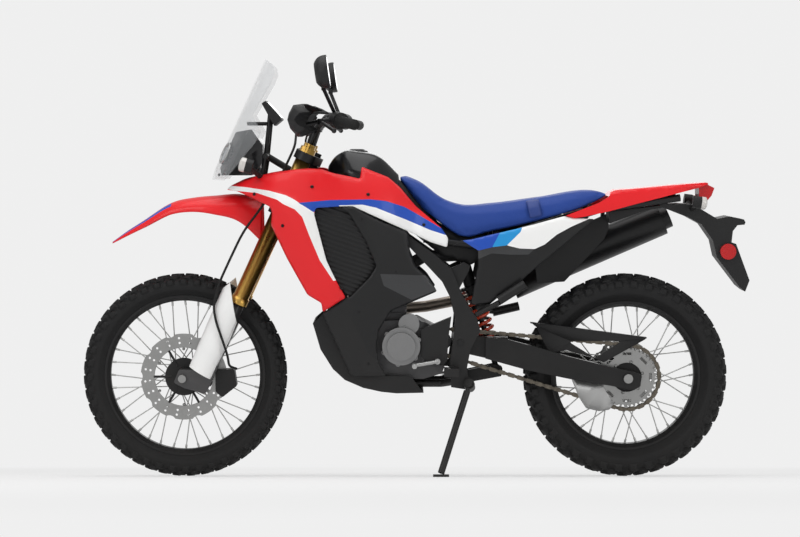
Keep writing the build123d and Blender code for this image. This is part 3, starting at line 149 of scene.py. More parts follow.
# every finish: colour, its worn tint, and how the surface takes the light
finishes = {
    "redPaint": surface((0.8, 0.009, 0.014), (0.74, 0.008, 0.012), 0.36, 0.02, coat=0.2, spec=0.3),
    "whitePaint": surface((0.9, 0.9, 0.89), (0.84, 0.84, 0.83), 0.32, 0.02, coat=0.4),
    "bluePaint": surface((0.012, 0.075, 0.46), (0.011, 0.066, 0.4), 0.36, 0.02, coat=0.2, spec=0.3),
    "cyanPaint": surface((0.015, 0.29, 0.66), (0.014, 0.26, 0.6), 0.36, 0.02, coat=0.2, spec=0.3),
    "greyPaint": surface((0.035, 0.036, 0.038), (0.028, 0.028, 0.03), 0.36, 0.03, coat=0.2, spec=0.35),
    "glossBlack": surface((0.005, 0.005, 0.006), (0.008, 0.008, 0.009), 0.26, 0.02, coat=0.25, spec=0.3),
    "redLens": surface((0.5, 0.004, 0.006), (0.42, 0.004, 0.005), 0.2, 0.02, coat=0.3, spec=0.3),
    "frameBlack": surface((0.007, 0.007, 0.0075), (0.012, 0.012, 0.0125), 0.4, 0.15, spec=0.35, dust=0.04),
    "mouldedBlack": surface((0.008, 0.008, 0.0085), (0.014, 0.014, 0.0145), 0.5, 0.35, spec=0.35,
                            grainScale=1400.0, dust=0.03),
    "satinBlack": surface((0.006, 0.006, 0.0065), (0.01, 0.01, 0.0105), 0.36, 0.08, spec=0.35),
    "caseAlloy": surface((0.07, 0.07, 0.073), (0.11, 0.11, 0.112), 0.42, 0.5, metal=0.9, grainScale=1800.0,
                         dust=0.1),
    "coverAlloy": surface((0.22, 0.22, 0.222), (0.28, 0.28, 0.278), 0.36, 0.35, metal=0.9,
                          grainScale=1800.0),
    "blackAlloy": surface((0.008, 0.008, 0.0085), (0.015, 0.015, 0.0155), 0.38, 0.1, metal=0.2, spec=0.35,
                          dust=0.03),
    "goldAlloy": surface((0.5, 0.3, 0.07), (0.56, 0.35, 0.1), 0.26, 0.06, metal=1.0),
    "brightSteel": surface((0.34, 0.34, 0.335), (0.26, 0.26, 0.255), 0.3, 0.12, metal=1.0),
    "plateAlloy": surface((0.46, 0.46, 0.455), (0.38, 0.38, 0.375), 0.38, 0.2, metal=0.9),
    "chainSteel": surface((0.17, 0.15, 0.12), (0.08, 0.07, 0.06), 0.42, 0.3, metal=0.9, driftScale=60.0,
                          drift=0.8),
    "exhaustSteel": surface((0.3, 0.26, 0.22), (0.2, 0.16, 0.14), 0.34, 0.2, metal=1.0),
    "springRed": surface((0.55, 0.05, 0.015), (0.45, 0.04, 0.012), 0.3, 0.05, coat=0.5),
    "rubber": surface((0.008, 0.008, 0.008), (0.013, 0.013, 0.0125), 0.62, 0.5, spec=0.3, grainScale=700.0),
    "tyreRubber": surface((0.0065, 0.0065, 0.007), (0.012, 0.012, 0.012), 0.6, 0.5, spec=0.3,
                          grainScale=500.0, driftScale=18.0, dust=0.02),
    "amberClear": surface((0.62, 0.6, 0.57), (0.55, 0.53, 0.5), 0.1, 0.02, coat=1.0),
    "mirrorGlass": surface((0.78, 0.8, 0.82), (0.74, 0.76, 0.78), 0.04, 0.0, metal=1.0),
    "meterGlass": surface((0.045, 0.055, 0.055), (0.055, 0.065, 0.062), 0.1, 0.0, coat=1.0),
    "seatVinyl": surface((0.012, 0.05, 0.27), (0.016, 0.058, 0.3), 0.52, 0.9, spec=0.3, grainScale=1100.0,
                         driftScale=9.0, drift=0.5),
    "strapVinyl": surface((0.009, 0.036, 0.2), (0.012, 0.042, 0.23), 0.46, 0.7, grainScale=1500.0),
}


def emptied(owner):
    owner.use_nodes = True
    owner.node_tree.nodes.clear()
    return Nodes(owner.node_tree)


def shownBy(n, shader):
    n.add("OutputMaterial", {"Surface": shader.outputs[0]})


def addSurface(n, look):  # a finish's own shader, fed by the groups
    inputs = {key: look[key] for key in ("color", "worn", *lifeKeys)}
    life = n.add("Group", inputs, node_tree=surfaceLife).outputs
    color = life["color"]
    if look["dust"]:
        film = {key: look[key] for key in ("dustColor", "dustTop", "dust")}
        color = n.add("Group", {"color": color, **film}, node_tree=roadDust).outputs["color"]
    shader = n.add("BsdfPrincipled", {
        "Base Color": color, "Roughness": life["rough"], "Normal": life["normal"], "Metallic": look["metal"],
        "Coat Weight": look["coat"], "Coat Roughness": look["coatRough"], "Specular IOR Level": look["spec"]})
    shownBy(n, shader)
    return shader


def buildFinish(name, look):
    material = bpy.data.materials.new(name)
    addSurface(emptied(material), look)
    return material


def buildClearPlastic(name, color, alpha):  # a thin clear sheet: little colour, full gloss
    material = bpy.data.materials.new(name)
    n = emptied(material)
    shownBy(n, n.add("BsdfPrincipled", {
        "Base Color": (*color, 1), "Alpha": alpha, "Coat Weight": 0.5,
        "Roughness": n.mapped(n.noise(5.0, 5.0), toMin=0.03, toMax=0.1)}))
    return material


def buildSpokedHub(name, jointName, outFrom, within):  # a black hub whose spokes are bright steel
    # spokes lie further from the axis than outFrom and nearer the middle plane than within, in metres
    look, spokeColor = finishes["blackAlloy"], (0.5, 0.5, 0.49, 1)
    middle, axis = jointOf[jointName]["pos_m"], jointOf[jointName]["axis"]
    material = bpy.data.materials.new(name)
    n = emptied(material)
    shader = addSurface(n, look)
    away = n.vectors("SUBTRACT", n.spot(), middle)[0]
    reach = n.vectors("LENGTH", n.vectors("CROSS_PRODUCT", away, axis)[0])["Value"]
    along = n.vectors("DOT_PRODUCT", away, axis)["Value"]
    far = n.maths("GREATER_THAN", reach, outFrom)
    near = n.maths("LESS_THAN", n.maths("ABSOLUTE", along), within)
    mask = n.maths("MULTIPLY", far, near)
    plain = shader.inputs["Base Color"].links[0].from_socket
    n.tree.links.new(n.mixed(mask, plain, spokeColor), shader.inputs["Base Color"])
    n.tree.links.new(n.mapped(mask, toMin=look["metal"], toMax=1.0), shader.inputs["Metallic"])
    return material


finish = {name: buildFinish(name, look) for name, look in finishes.items()}
finish["screenPlastic"] = buildClearPlastic("screenPlastic", (0.6, 0.62, 0.64), 0.16)
finish["lampPlastic"] = buildClearPlastic("lampPlastic", (0.75, 0.77, 0.78), 0.2)
finish["frontHub"] = buildSpokedHub("frontHub", "front_wheel_spin", 0.046, 0.052)
finish["rearHub"] = buildSpokedHub("rearHub", "rear_wheel_spin", 0.063, 0.052)

nodesIn = {  # the frame's nodes in each finish; all others are moulded black
    "frameBlack": "main_frame subframe footpegs fairing_stay side_stand",
    "satinBlack": "swingarm_pivot muffler muffler_guard lower_cowls side_covers handlebar",
    "blackAlloy": "swingarm rear_shock shock_linkage rear_caliper radiator steering_clamps levers "
                  "front_caliper front_rim rear_rim",
    "brightSteel": "rear_axle front_axle front_disc rear_disc rear_sprocket", "plateAlloy": "foot_controls",
    "caseAlloy": "engine_case cylinder fork_sliders", "coverAlloy": "engine_covers",
    "goldAlloy": "fork_tubes", "chainSteel": "chain", "exhaustSteel": "exhaust_pipe",
    "springRed": "shock_spring", "whitePaint": "fork_guards",
    "redPaint": "side_fairings tail_cowl front_fender",
    "glossBlack": "fuel_tank headlight", "redLens": "tail_light", "screenPlastic": "windscreen",
    "seatVinyl": "seat", "rubber": "grips brake_hose", "tyreRubber": "front_tyre rear_tyre",
    "frontHub": "front_hub", "rearHub": "rear_hub",
}
nodeFinish = {nodeName: look for look, names in nodesIn.items() for nodeName in names.split()}
for nodeName, node in frame["nodes"].items():
    node.data.materials.clear()
    node.data.materials.append(finish[nodeFinish.get(nodeName, "mouldedBlack")])
print("finishes on the frame's nodes")


def linked(name, data):
    obj = bpy.data.objects.new(name, data)
    bpy.context.collection.objects.link(obj)
    return obj


def mergeDoubles(mesh, distance, turnOut):  # points within the distance become one
    bm = bmesh.new()
    bm.from_mesh(mesh)
    bmesh.ops.remove_doubles(bm, verts=bm.verts, dist=distance)
    if turnOut:
        bmesh.ops.recalc_face_normals(bm, faces=bm.faces)
    bm.to_mesh(mesh)
    bm.free()


def allSmooth(mesh):
    mesh.polygons.foreach_set("use_smooth", np.full(len(mesh.polygons), True))


def madeObject(name, verts, faces, body, look, closed=True):
    mesh = bpy.data.meshes.new(name)
    faces = faces if isinstance(faces, list) else faces.tolist()
    mesh.from_pydata(leaned(verts).reshape(-1, 3).tolist(), [], faces)
    if closed:
        mergeDoubles(mesh, 1e-6, True)
    allSmooth(mesh)
    obj = linked(name, mesh)
    mesh.materials.append(finish[look])
    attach(obj, body)
    return obj


def gridFaces(rows, columns, loopRows=False, loopColumns=False):  # quads between neighbouring points
    i = np.arange(rows if loopRows else rows - 1)[:, None]
    j = np.arange(columns if loopColumns else columns - 1)[None, :]
    i2, j2 = (i + 1) % rows, (j + 1) % columns
    quads = np.stack([i * columns + j, i2 * columns + j, i2 * columns + j2, i * columns + j2], -1)
    return quads.reshape(-1, 4)


def gridPiece(name, grid, body, look, loopRows=False, loopColumns=False, closed=True):
    return madeObject(name, grid, gridFaces(*grid.shape[:2], loopRows, loopColumns), body, look, closed)


def ringsPiece(name, grids, body, look):  # several equal grids in one mesh, each closed across its columns
    count, rows, columns = grids.shape[:3]
    starts = np.arange(count)[:, None, None] * rows * columns
    faces = gridFaces(rows, columns, loopColumns=True) + starts
    return madeObject(name, grids, faces.reshape(-1, 4), body, look)


def addModifier(obj, kind, **values):
    made = obj.modifiers.new(kind.title(), kind)
    for key, value in values.items():
        setattr(made, key, value)


def addWall(obj, facing, wall, judge=0.5):  # the wall, in millimetres, is behind the side that looks that way
    face = obj.data.polygons[int(judge * len(obj.data.polygons))]  # as one face of the list tells
    if np.array(face.normal) @ leanTurn @ np.array(facing) < 0:
        obj.data.flip_normals()
    addModifier(obj, "SOLIDIFY", thickness=wall * bike["mm"], offset=-1)


def paintFaces(obj, looks, which):  # further finishes, and the number of the one on each face
    for look in looks:
        obj.data.materials.append(finish[look])
    obj.data.polygons.foreach_set("material_index", np.asarray(which, np.int32).ravel())


def cubic(t, run, start, end, slopeStart, slopeEnd):  # from start to end as t goes from 0 to 1 over a run
    return (start * (1 + 2 * t) * (1 - t) ** 2 + slopeStart * run * t * (1 - t) ** 2
            + end * t * t * (3 - 2 * t) - slopeEnd * run * t * t * (1 - t))


def smoothThrough(x, stations, values):  # cubic pieces through the values, sloped by their neighbours
    stations, values = np.asarray(stations, float), np.asarray(values, float)
    slopes = np.gradient(values, stations)
    k = np.clip(np.searchsorted(stations, x) - 1, 0, len(stations) - 2)
    run = stations[k + 1] - stations[k]
    t = np.clip((x - stations[k]) / run, 0, 1)
    return cubic(t, run, values[k], values[k + 1], slopes[k], slopes[k + 1])


def stationPoints(stations, x):  # heights and half widths at x, from rows of x, (z, half width), ...
    xs = [row[0] for row in stations]
    table = np.array([row[1:] for row in stations], float)
    return [np.stack([smoothThrough(x, xs, table[:, k, axis]) for k in range(table.shape[1])], -1)
            for axis in (0, 1)]


# the body panels' width: x, then (z, half width) from the bottom edge to the top
shells = {
    "fairing": [
        (-600, (885, 36), (910, 44), (940, 46), (960, 40), (975, 24)),
        (-520, (860, 92), (900, 104), (940, 106), (975, 92), (1000, 62)),
        (-430, (780, 150), (860, 166), (930, 168), (985, 146), (1022, 112)),
        (-330, (630, 176), (760, 200), (890, 204), (965, 180), (1036, 146)),
        (-250, (550, 178), (700, 208), (860, 214), (960, 188), (1042, 144)),
        (-150, (560, 172), (700, 196), (860, 204), (960, 176), (1042, 136)),
        (-50, (600, 160), (740, 170), (860, 176), (950, 150), (1010, 112)),
        (50, (600, 140), (720, 138), (810, 130), (880, 112), (940, 92)),
        (150, (600, 132), (700, 130), (770, 126), (830, 110), (860, 98)),
    ],
    "cowl": [
        (-280, (340, 130), (450, 148), (560, 166), (700, 200), (920, 206)),
        (-150, (340, 144), (450, 156), (560, 168), (700, 190), (920, 194)),
        (-50, (340, 146), (450, 154), (560, 158), (740, 166), (920, 160)),
        (110, (340, 138), (450, 140), (600, 134), (720, 130), (920, 112)),
    ],
    "cover": [
        (120, (560, 130), (660, 130), (740, 128), (800, 116), (880, 104)),
        (260, (560, 134), (660, 138), (740, 138), (800, 130), (880, 118)),
        (420, (560, 130), (660, 134), (740, 134), (800, 130), (880, 116)),
        (630, (560, 100), (660, 102), (740, 102), (830, 98), (880, 92)),
    ],
}


def shellWidth(name, x, z):  # smooth between stations along x, then smooth up z between their points
    zs, ws = stationPoints(shells[name], x)
    slope = np.empty_like(ws)
    slope[..., 1:-1] = (ws[..., 2:] - ws[..., :-2]) / (zs[..., 2:] - zs[..., :-2])
    for end, beside in ((0, 1), (-1, -2)):
        slope[..., end] = (ws[..., end] - ws[..., beside]) / (zs[..., end] - zs[..., beside])
    width = ws[..., 0].copy()
    for k in range(zs.shape[-1] - 1):
        run = zs[..., k + 1] - zs[..., k]
        t = np.clip((z - zs[..., k]) / run, 0, 1)
        here = cubic(t, run, ws[..., k], ws[..., k + 1], slope[..., k], slope[..., k + 1])
        width = np.where(z >= zs[..., k], here, width)
    return width


def rounded(outline, cut, steps):  # an outline with each corner turned by a short arc
    p = np.array(outline, float)
    before, after = np.roll(p, 1, 0) - p, np.roll(p, -1, 0) - p
    a, b = (p + unit(way) * np.minimum(cut, 0.45 * np.linalg.norm(way, axis=1, keepdims=True))
            for way in (before, after))
    t = np.linspace(0, 1, steps + 1)[None, :, None]
    arcs = a[:, None] * (1 - t) ** 2 + 2 * p[:, None] * t * (1 - t) + b[:, None] * t ** 2
    return arcs.reshape(-1, 2)


def edgeDistance(points, loop):  # how far each point is from the nearest side of a closed outline
    a, b = loop, np.roll(loop, -1, 0)
    run = b - a
    t = ((points[:, None] - a) * run).sum(-1) / np.maximum((run * run).sum(-1), 1e-9)
    near = a + np.clip(t, 0, 1)[..., None] * run
    return np.linalg.norm(points[:, None] - near, axis=-1).min(1)


def insideLoop(points, loop):  # a ray to the right crosses the outline an odd number of times
    x, z = points.T[:, :, None]
    a, b = loop, np.roll(loop, -1, 0)
    spans = (a[:, 1] > z) != (b[:, 1] > z)
    rise = np.where(b[:, 1] == a[:, 1], 1, b[:, 1] - a[:, 1])
    reach = a[:, 0] + (z - a[:, 1]) * (b[:, 0] - a[:, 0]) / rise
    return ((spans & (x < reach)).sum(1) % 2) == 1


def above(outline, start, end):  # the part of an outline above a line
    p, a, b = (np.array(part, float) for part in (outline, start, end))
    height = (p - a) @ np.array([a[1] - b[1], b[0] - a[0]])
    kept = []
    for here, there, h, g in zip(p, np.roll(p, -1, 0), height, np.roll(height, -1)):
        if h >= 0:
            kept.append(here)
        if (h >= 0) != (g >= 0):
            kept.append(here + (there - here) * h / (h - g))
    return kept


def denseLoop(edge, step):  # an outline's sides cut into steps, run anticlockwise
    ahead = np.roll(edge, -1, 0)
    counts = np.maximum(1, np.ceil(np.linalg.norm(ahead - edge, axis=1) / step)).astype(int)
    dense = np.concatenate([p + (q - p) * np.arange(c)[:, None] / c for p, q, c in zip(edge, ahead, counts)])
    ahead = np.roll(dense, -1, 0)
    doubleArea = (dense[:, 0] * ahead[:, 1] - dense[:, 1] * ahead[:, 0]).sum()
    return dense[::-1] if doubleArea < 0 else dense


sheetLook = {"cornerCut": 7.0, "areaCut": 3.0, "rollReach": 5.0, "clearOfEdge": 0.45}


def panelPiece(name, outline, width, side, look, areas=(), step=8.0, wall=3.0, roll=2.5):
    # a sheet over its side outline, as far out as width says, its edges rolled in; areas have a finish
    loop = rounded(outline, sheetLook["cornerCut"], 3)
    rows = (np.arange(a + step / 2, b, step) for a, b in zip(loop.min(0), loop.max(0)))
    inner = np.stack(np.meshgrid(*rows), -1).reshape(-1, 2)
    inner = inner[insideLoop(inner, loop)]
    edges = [loop] + [rounded(area, sheetLook["areaCut"], 2) for _, area in areas]
    for edge in edges:
        inner = inner[edgeDistance(inner, edge) > step * sheetLook["clearOfEdge"]]
    edges = [denseLoop(edge, step) for edge in edges]
    starts = np.cumsum([0] + [len(edge) for edge in edges])
    filled = [list(range(a, b)) for a, b in zip(starts, starts[1:])]
    spots = [Vector(p) for p in np.concatenate([*edges, inner])]
    flat, _, cells, _, _, origin = delaunay_2d_cdt(spots, [], filled, 1, 1e-4)
    kept = [(cell, max(of)) for cell, of in zip(cells, origin) if 0 in of]
    flat = np.array([tuple(p) for p in flat])
    inward = roll * np.exp(-(edgeDistance(flat, edges[0]) / sheetLook["rollReach"]) ** 2)
    y = side * (width(flat[:, 0], flat[:, 1]) - inward)
    faces = [cell if side < 0 else cell[::-1] for cell, _ in kept]
    obj = madeObject(name, np.stack([flat[:, 0], y, flat[:, 1]], -1), faces, "frame", look, closed=False)
    paintFaces(obj, [areaLook for areaLook, _ in areas], [area for _, area in kept])
    addWall(obj, (0, side, 0), wall, judge=0)
    return obj


def softLoop(corners, around, square):
    # a closed loop inside its corners: a spline between side middles, or the corners as square goes to 1
    middle = (corners + np.roll(corners, -1, 1)) / 2
    before = np.roll(middle, 1, 1)
    steps = max(2, around // corners.shape[1])
    t = (np.arange(steps) / steps)[None, None, :, None]
    a, m, b = before[:, :, None], corners[:, :, None], middle[:, :, None]
    curve = a * (1 - t) ** 2 + 2 * m * t * (1 - t) + b * t ** 2
    sharp = np.where(t < 0.5, a + (m - a) * 2 * t, m + (b - m) * (2 * t - 1))
    return (curve * (1 - square) + sharp * square).reshape(corners.shape[0], -1, 2)


def sections(stations, x, around, square):  # soft loops of (y, z) round the stations' points at x
    z, w = stationPoints(stations, x)
    corners = np.concatenate([np.stack([-w, z], -1), np.stack([w, z], -1)[:, ::-1]], 1)
    return softLoop(corners, around, square)


# how a loft closes: how far past its end each ring lies, and its share of the end's size
endRoll = {"past": np.array([3.0, 2.4, 1.0]), "share": np.array([0.0, 0.55, 0.85])}


def loftPiece(name, stations, body, look, length, around, square):
    # a closed skin through sections at rows of x, (z, half width), ..., with rounded ends
    first, last = float(stations[0][0]), float(stations[-1][0])
    x = first + (last - first) * np.linspace(0, 1, length)
    loop = sections(stations, x, around, square)
    middle = loop.mean(1, keepdims=True)
    share = endRoll["share"][:, None, None]
    loop = np.concatenate([middle[:1] + (loop[:1] - middle[:1]) * share, loop,
                           middle[-1:] + (loop[-1:] - middle[-1:]) * share[::-1]])
    x = np.concatenate([x[0] - endRoll["past"], x, x[-1] + endRoll["past"][::-1]])
    grid = np.stack([np.broadcast_to(x[:, None], loop.shape[:2]), loop[..., 0], loop[..., 1]], -1)
    return gridPiece(name, grid, body, look, loopColumns=True)


def routed(points, count):  # a smooth line through a route's points
    p = np.array(points, float)
    reach = np.concatenate([[0], np.cumsum(np.linalg.norm(np.diff(p, axis=0), axis=1))])
    s = np.linspace(0, reach[-1], count)
    return np.stack([smoothThrough(s, reach, p[:, k]) for k in range(3)], -1)


def circle(count):
    return np.linspace(0, 2 * math.pi, count, endpoint=False)


def unit(vectors):
    return vectors / np.linalg.norm(vectors, axis=-1, keepdims=True)


def ringAcross(axis, guide, count):  # a unit circle square to each axis
    out = unit(np.cross(axis, guide))
    over = np.cross(axis, out)
    turn = circle(count)[:, None]
    return np.cos(turn) * out[..., None, :] + np.sin(turn) * over[..., None, :]


def tubePiece(name, points, radius, body, look, count=48, around=10):
    # a ring carried along the route, its ends closed
    line = routed(points, count)
    along = unit(np.gradient(line, axis=0))
    guide = np.array([0.13, 0.9, 0.41])  # a direction that no route follows
    grid = line[:, None] + ringAcross(along, guide, around) * float(radius)
    caps = [np.repeat(end[None, None], around, 1) for end in (line[0], line[-1])]
    return gridPiece(name, np.concatenate([caps[0], grid, caps[1]]), body, look, loopColumns=True)


def turnedPieces(name, profile, places, body, look, around):
    # a profile of (distance along, radius) turned about each place's axis, all in one mesh
    along, radius = np.array(profile, float).T[:, :, None, None]
    spots, axes = (np.array(part, float) for part in zip(*places))
    axes = unit(axes)
    guides = np.where(np.abs(axes[:, 2:]) < 0.9, [0.0, 0.0, 1.0], [1.0, 0.0, 0.0])
    rings = ringAcross(axes, guides, around)[:, None]
    grids = spots[:, None, None] + along * axes[:, None, None] + radius * rings
    return ringsPiece(name, grids, body, look)


boltHead = [(0, 0), (0, 5.5), (1.2, 5.6), (1.6, 4.6), (4.2, 4.2), (5.2, 3.4), (5.3, 2.2), (3.4, 2.1),
            (3.4, 0)]


def bolts(name, places, body="frame", look="brightSteel", scale=1.0):
    return turnedPieces(name, np.array(boltHead) * scale, places, body, look, around=12)


def smoothCopy(nodeName, angle):  # the node's own solid and finish, shaded smooth up to an angle in degrees
    mesh = frame["nodes"][nodeName].data.copy()
    mesh.name = nodeName + "_smooth"
    mergeDoubles(mesh, 2e-6, False)
    allSmooth(mesh)
    mesh.set_sharp_from_angle(angle=math.radians(angle))
    obj = linked(nodeName + "_smooth", mesh)
    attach(obj, bodyOf[nodeName])
    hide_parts(nodeName)
    return obj


sides = ((-1, "left"), (1, "right"))

# painted panels: side outlines; each area has its finish and is drawn over the panel
panels = {
    "fairing": {
        "look": "redPaint", "node": "side_fairings", "outline": [
            (-585, 952), (-570, 966), (-523, 989), (-447, 1006), (-362, 1020), (-315, 1024), (-272, 1022),
            (-230, 1008), (-173, 997), (-146, 990), (-141, 1029), (-55, 995), (-17, 962), (33, 902),
            (117, 830), (140, 796), (136, 767), (82, 784), (8, 821), (-168, 903), (-206, 903), (-288, 898),
            (-293, 879), (-253, 728), (-220, 658), (-192, 608), (-267, 560), (-271, 590), (-316, 616),
            (-383, 735), (-418, 808), (-434, 841), (-430, 881), (-437, 900.5), (-489, 923.5), (-550, 949)],
        "areas": [
            ("whitePaint", [
                (-600, 958), (-560, 950), (-480, 944), (-412, 923), (-392, 909), (-355, 893), (-331, 869),
                (-309, 811), (-275, 730), (-231, 662), (-216, 668), (-247, 745), (-269, 805), (-283, 845),
                (-290, 880), (-297, 888), (-323, 902), (-358, 925), (-385, 938), (-440, 952), (-520, 962),
                (-580, 966)]),
            ("bluePaint", [
                (-344, 914), (-243, 923), (-114, 925), (-62, 919), (-2, 899), (63, 861), (119, 828),
                (138, 813), (134, 804), (79, 822), (-2, 858), (-94, 896), (-138, 905), (-205, 893),
                (-284, 890), (-294, 884), (-322, 902)]),
            ("whitePaint", [
                (-215, 906), (-138, 908), (-94, 898), (-2, 860), (79, 824), (134, 806), (142, 796),
                (138, 766), (119, 768), (82, 782), (8, 819), (-168, 901), (-206, 900)])]},
    "cowl": {
        "look": "satinBlack", "node": "lower_cowls", "outline": [
            (-207, 901), (-168, 901), (6, 819), (16, 746), (34, 704), (72, 671), (103, 625), (-48, 563),
            (-87, 499), (-94, 450), (-87, 391), (-62, 351), (-176, 351), (-268, 556), (-193, 605),
            (-178, 610), (-116, 672), (-93, 709), (-126, 789), (-180, 879)],
        "areas": [
            ("greyPaint", [(-82, 684), (71, 676), (76, 668), (100, 629), (20, 598), (-70, 645)]),
            ("mouldedBlack", [(-268, 556), (-193, 605), (-160, 579), (-176, 537), (-136, 465), (-120, 425),
                              (-90, 400), (-62, 351), (-176, 351)])]},
    "cover": {
        "look": "satinBlack", "node": "side_covers", "outline": [
            (140, 764), (186, 789), (236, 757), (234, 705), (213, 586), (218, 579), (275, 583), (325, 623),
            (379, 660), (429, 705), (528, 784), (617, 858), (548, 861), (518, 868), (381, 832), (281, 809),
            (212, 792), (182, 790)],
        "areas": [
            ("bluePaint", [(186, 789), (212, 794), (281, 812), (310, 819), (282, 768), (237, 757)]),
            ("cyanPaint", [(310, 819), (381, 836), (375, 818), (330, 774), (282, 768)]),
            ("whitePaint", [(381, 836), (520, 870), (548, 862), (600, 859), (541, 834), (492, 808),
                            (452, 776), (420, 762), (371, 764), (330, 774), (375, 818)]),
            ("greyPaint", [(237, 757), (282, 768), (330, 774), (371, 764), (420, 762), (400, 744),
                           (340, 744), (280, 748), (238, 730)])]},
}
mufflerTop = ((331, 693), (831, 911))  # the right cover ends on this line, above the muffler
for panelName, panel in panels.items():
    for side, word in sides:
        outline, areas = panel["outline"], panel["areas"]
        if panelName == "cover" and word == "right":
            outline, areas = above(outline, *mufflerTop), []
        width = functools.partial(shellWidth, panelName)
        piece = panelPiece(panelName + "_" + word, outline, width, side, panel["look"], areas)
        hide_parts(panel["node"])

# plain inner walls that close the view under the tank's tail and the seat's nose
skirt = {
    "outline": [(-20, 985), (30, 928), (110, 842), (180, 800), (278, 808), (280, 748), (215, 705), (120, 735),
                (40, 800), (-40, 880), (-60, 945)],
    "reach": 60.0,
}
# black slats in the shroud's opening, ahead of the frame spars
slats = {
    "outline": [(-290, 900), (-200, 905), (-176, 885), (-122, 789), (-90, 709), (-112, 668), (-178, 606),
                (-222, 656), (-252, 728), (-293, 880)],
    "setIn": 12.0, "ridge": 5.0, "pitch": 15.0, "slope": 0.35,
}


def skirtWidth(x, z):
    return np.full(x.shape, skirt["reach"])


def slatWidth(x, z):  # the shroud's width, set in, with long rolls sloping down to the back
    roll = np.abs(np.sin((z + slats["slope"] * x) * math.pi / slats["pitch"]))
    return shellWidth("fairing", x, z) - slats["setIn"] - slats["ridge"] * roll


innerSheets = {"innerSkirt_": (skirt, skirtWidth, dict(step=14.0, wall=2.5)),
               "shroudSlats_": (slats, slatWidth, dict(step=3.0, wall=2.0, roll=0.0))}
for sheetName, (sheet, width, form) in innerSheets.items():
    for side, word in sides:
        panelPiece(sheetName + word, sheet["outline"], width, side, "mouldedBlack", **form)
print("painted panels")

# the tank: its stations along x, as x, (z, half width), ...
tank = {
    "stations": [
        (-252, (970, 40), (1000, 36), (1030, 14)),
        (-238, (962, 54), (1006, 54), (1052, 34)),
        (-212, (954, 94), (1012, 100), (1074, 70)),
        (-146, (938, 134), (1010, 132), (1078, 80)),
        (-80, (916, 118), (985, 114), (1060, 70)),
        (-22, (898, 88), (950, 82), (1004, 50)),
    ],
    "capAt": (-158, 0, 1072),
    "cap": [(-6, 0), (-6, 34), (2, 36), (6, 35), (8, 32), (8, 27), (11, 25), (13, 20), (13.5, 0)],
}
piece = loftPiece("tankSkin", tank["stations"], "frame", "glossBlack", length=40, around=60, square=0.5)
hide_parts("fuel_tank")
turnedPieces("tankCap", tank["cap"], [(tank["capAt"], (0, 0, 1))], "frame", "satinBlack", around=40)

# the front fender: x, height of its ridge, height of its edges, half width
fender = {
    "rows": [(-966, 779, 774, 5), (-915, 816, 800, 28), (-865, 848, 824, 42), (-763, 911, 872, 62),
             (-690, 926, 880, 70), (-625, 932, 872, 77), (-540, 936, 846, 72), (-468, 914, 780, 66)],
    "sag": 0.8, "fullness": 0.9, "wall": 3.0,
    "stripe": {"until": -775, "inner": 0.30, "outer": 0.62},
}


def fenderSkin(length=64, across=33):  # a sheet arched over from edge to edge, with a stripe on each side
    xs, ridges, edges, halves = zip(*fender["rows"])
    x = np.linspace(xs[0], xs[-1], length)[:, None]
    ridge, edge, half = (smoothThrough(x, xs, values) for values in (ridges, edges, halves))
    v = np.linspace(-1, 1, across)[None, :]
    y = half * np.sign(v) * np.abs(np.sin(v * math.pi / 2)) ** fender["fullness"]
    drop = 1 - np.cos(np.abs(v) * math.pi / 2) ** fender["sag"]
    z = ridge + (edge - ridge) * drop
    piece = gridPiece("fenderSkin", np.stack([x + 0 * v, y, z], -1), "steering", "redPaint", closed=False)
    stripe, share = fender["stripe"], np.abs(v[:, :-1])
    paintFaces(piece, ["bluePaint"],
               (x[:-1] < stripe["until"]) & (share > stripe["inner"]) & (share < stripe["outer"]))
    addWall(piece, (0, 0, 1), fender["wall"])
    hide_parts("front_fender")


fenderSkin()
print("tank and fender")

# the tyres: a round section turned about the axle
tyres = {
    "front": dict(axleX=-bike["axleX"], width=86.0, rimR=268.0, rimW=48.0, pitches=44, depth=9.5),
    "rear": dict(axleX=bike["axleX"], width=122.0, rimR=249.0, rimW=64.0, pitches=38, depth=11.0),
}
tyreSection = {
    "radius": 337.0, "perPitch": 14, "across": 104, "setIn": 5.0, "underRim": 2.0,
    "wrap": 2.28, "fullness": 0.86, "crownDrop": 0.52, "wallTurn": 0.71,  # turns in radians
    "beadFrom": 1.75, "beadTurn": 0.53, "beadSharp": 1.5,
}
# rows of blocks, across the section from 0 at the crown to 1 at the bead: how far the two sides are
# apart, where the row starts and leans, its blocks' share of a pitch, and where it lies
lugRows = [
    dict(apart=0.25, start=0.0, lean=1.4, share=0.56, low=0.02, high=0.15, edge=0.018),
    dict(apart=0.0, start=0.5, lean=0.8, share=0.54, low=0.19, high=0.36, edge=0.018),
    dict(apart=0.04, start=0.0, lean=0.0, share=0.5, low=0.4, high=0.6, edge=0.02),
]
wallRings = [(0.9, 0.65, 0.665), (0.9, 0.80, 0.815), (0.5, 0.70, 0.71)]  # height, low, high


def pulse(x, share, edge):  # 1 over share of each whole step of x, with soft sides
    near = np.abs((x + 0.5) % 1.0 - 0.5)
    return np.clip((share / 2 - near) / edge + 0.5, 0, 1)


def strip(t, low, high, edge):  # 1 between low and high
    return np.clip((t - low) / edge + 0.5, 0, 1) * np.clip((high - t) / edge + 0.5, 0, 1)


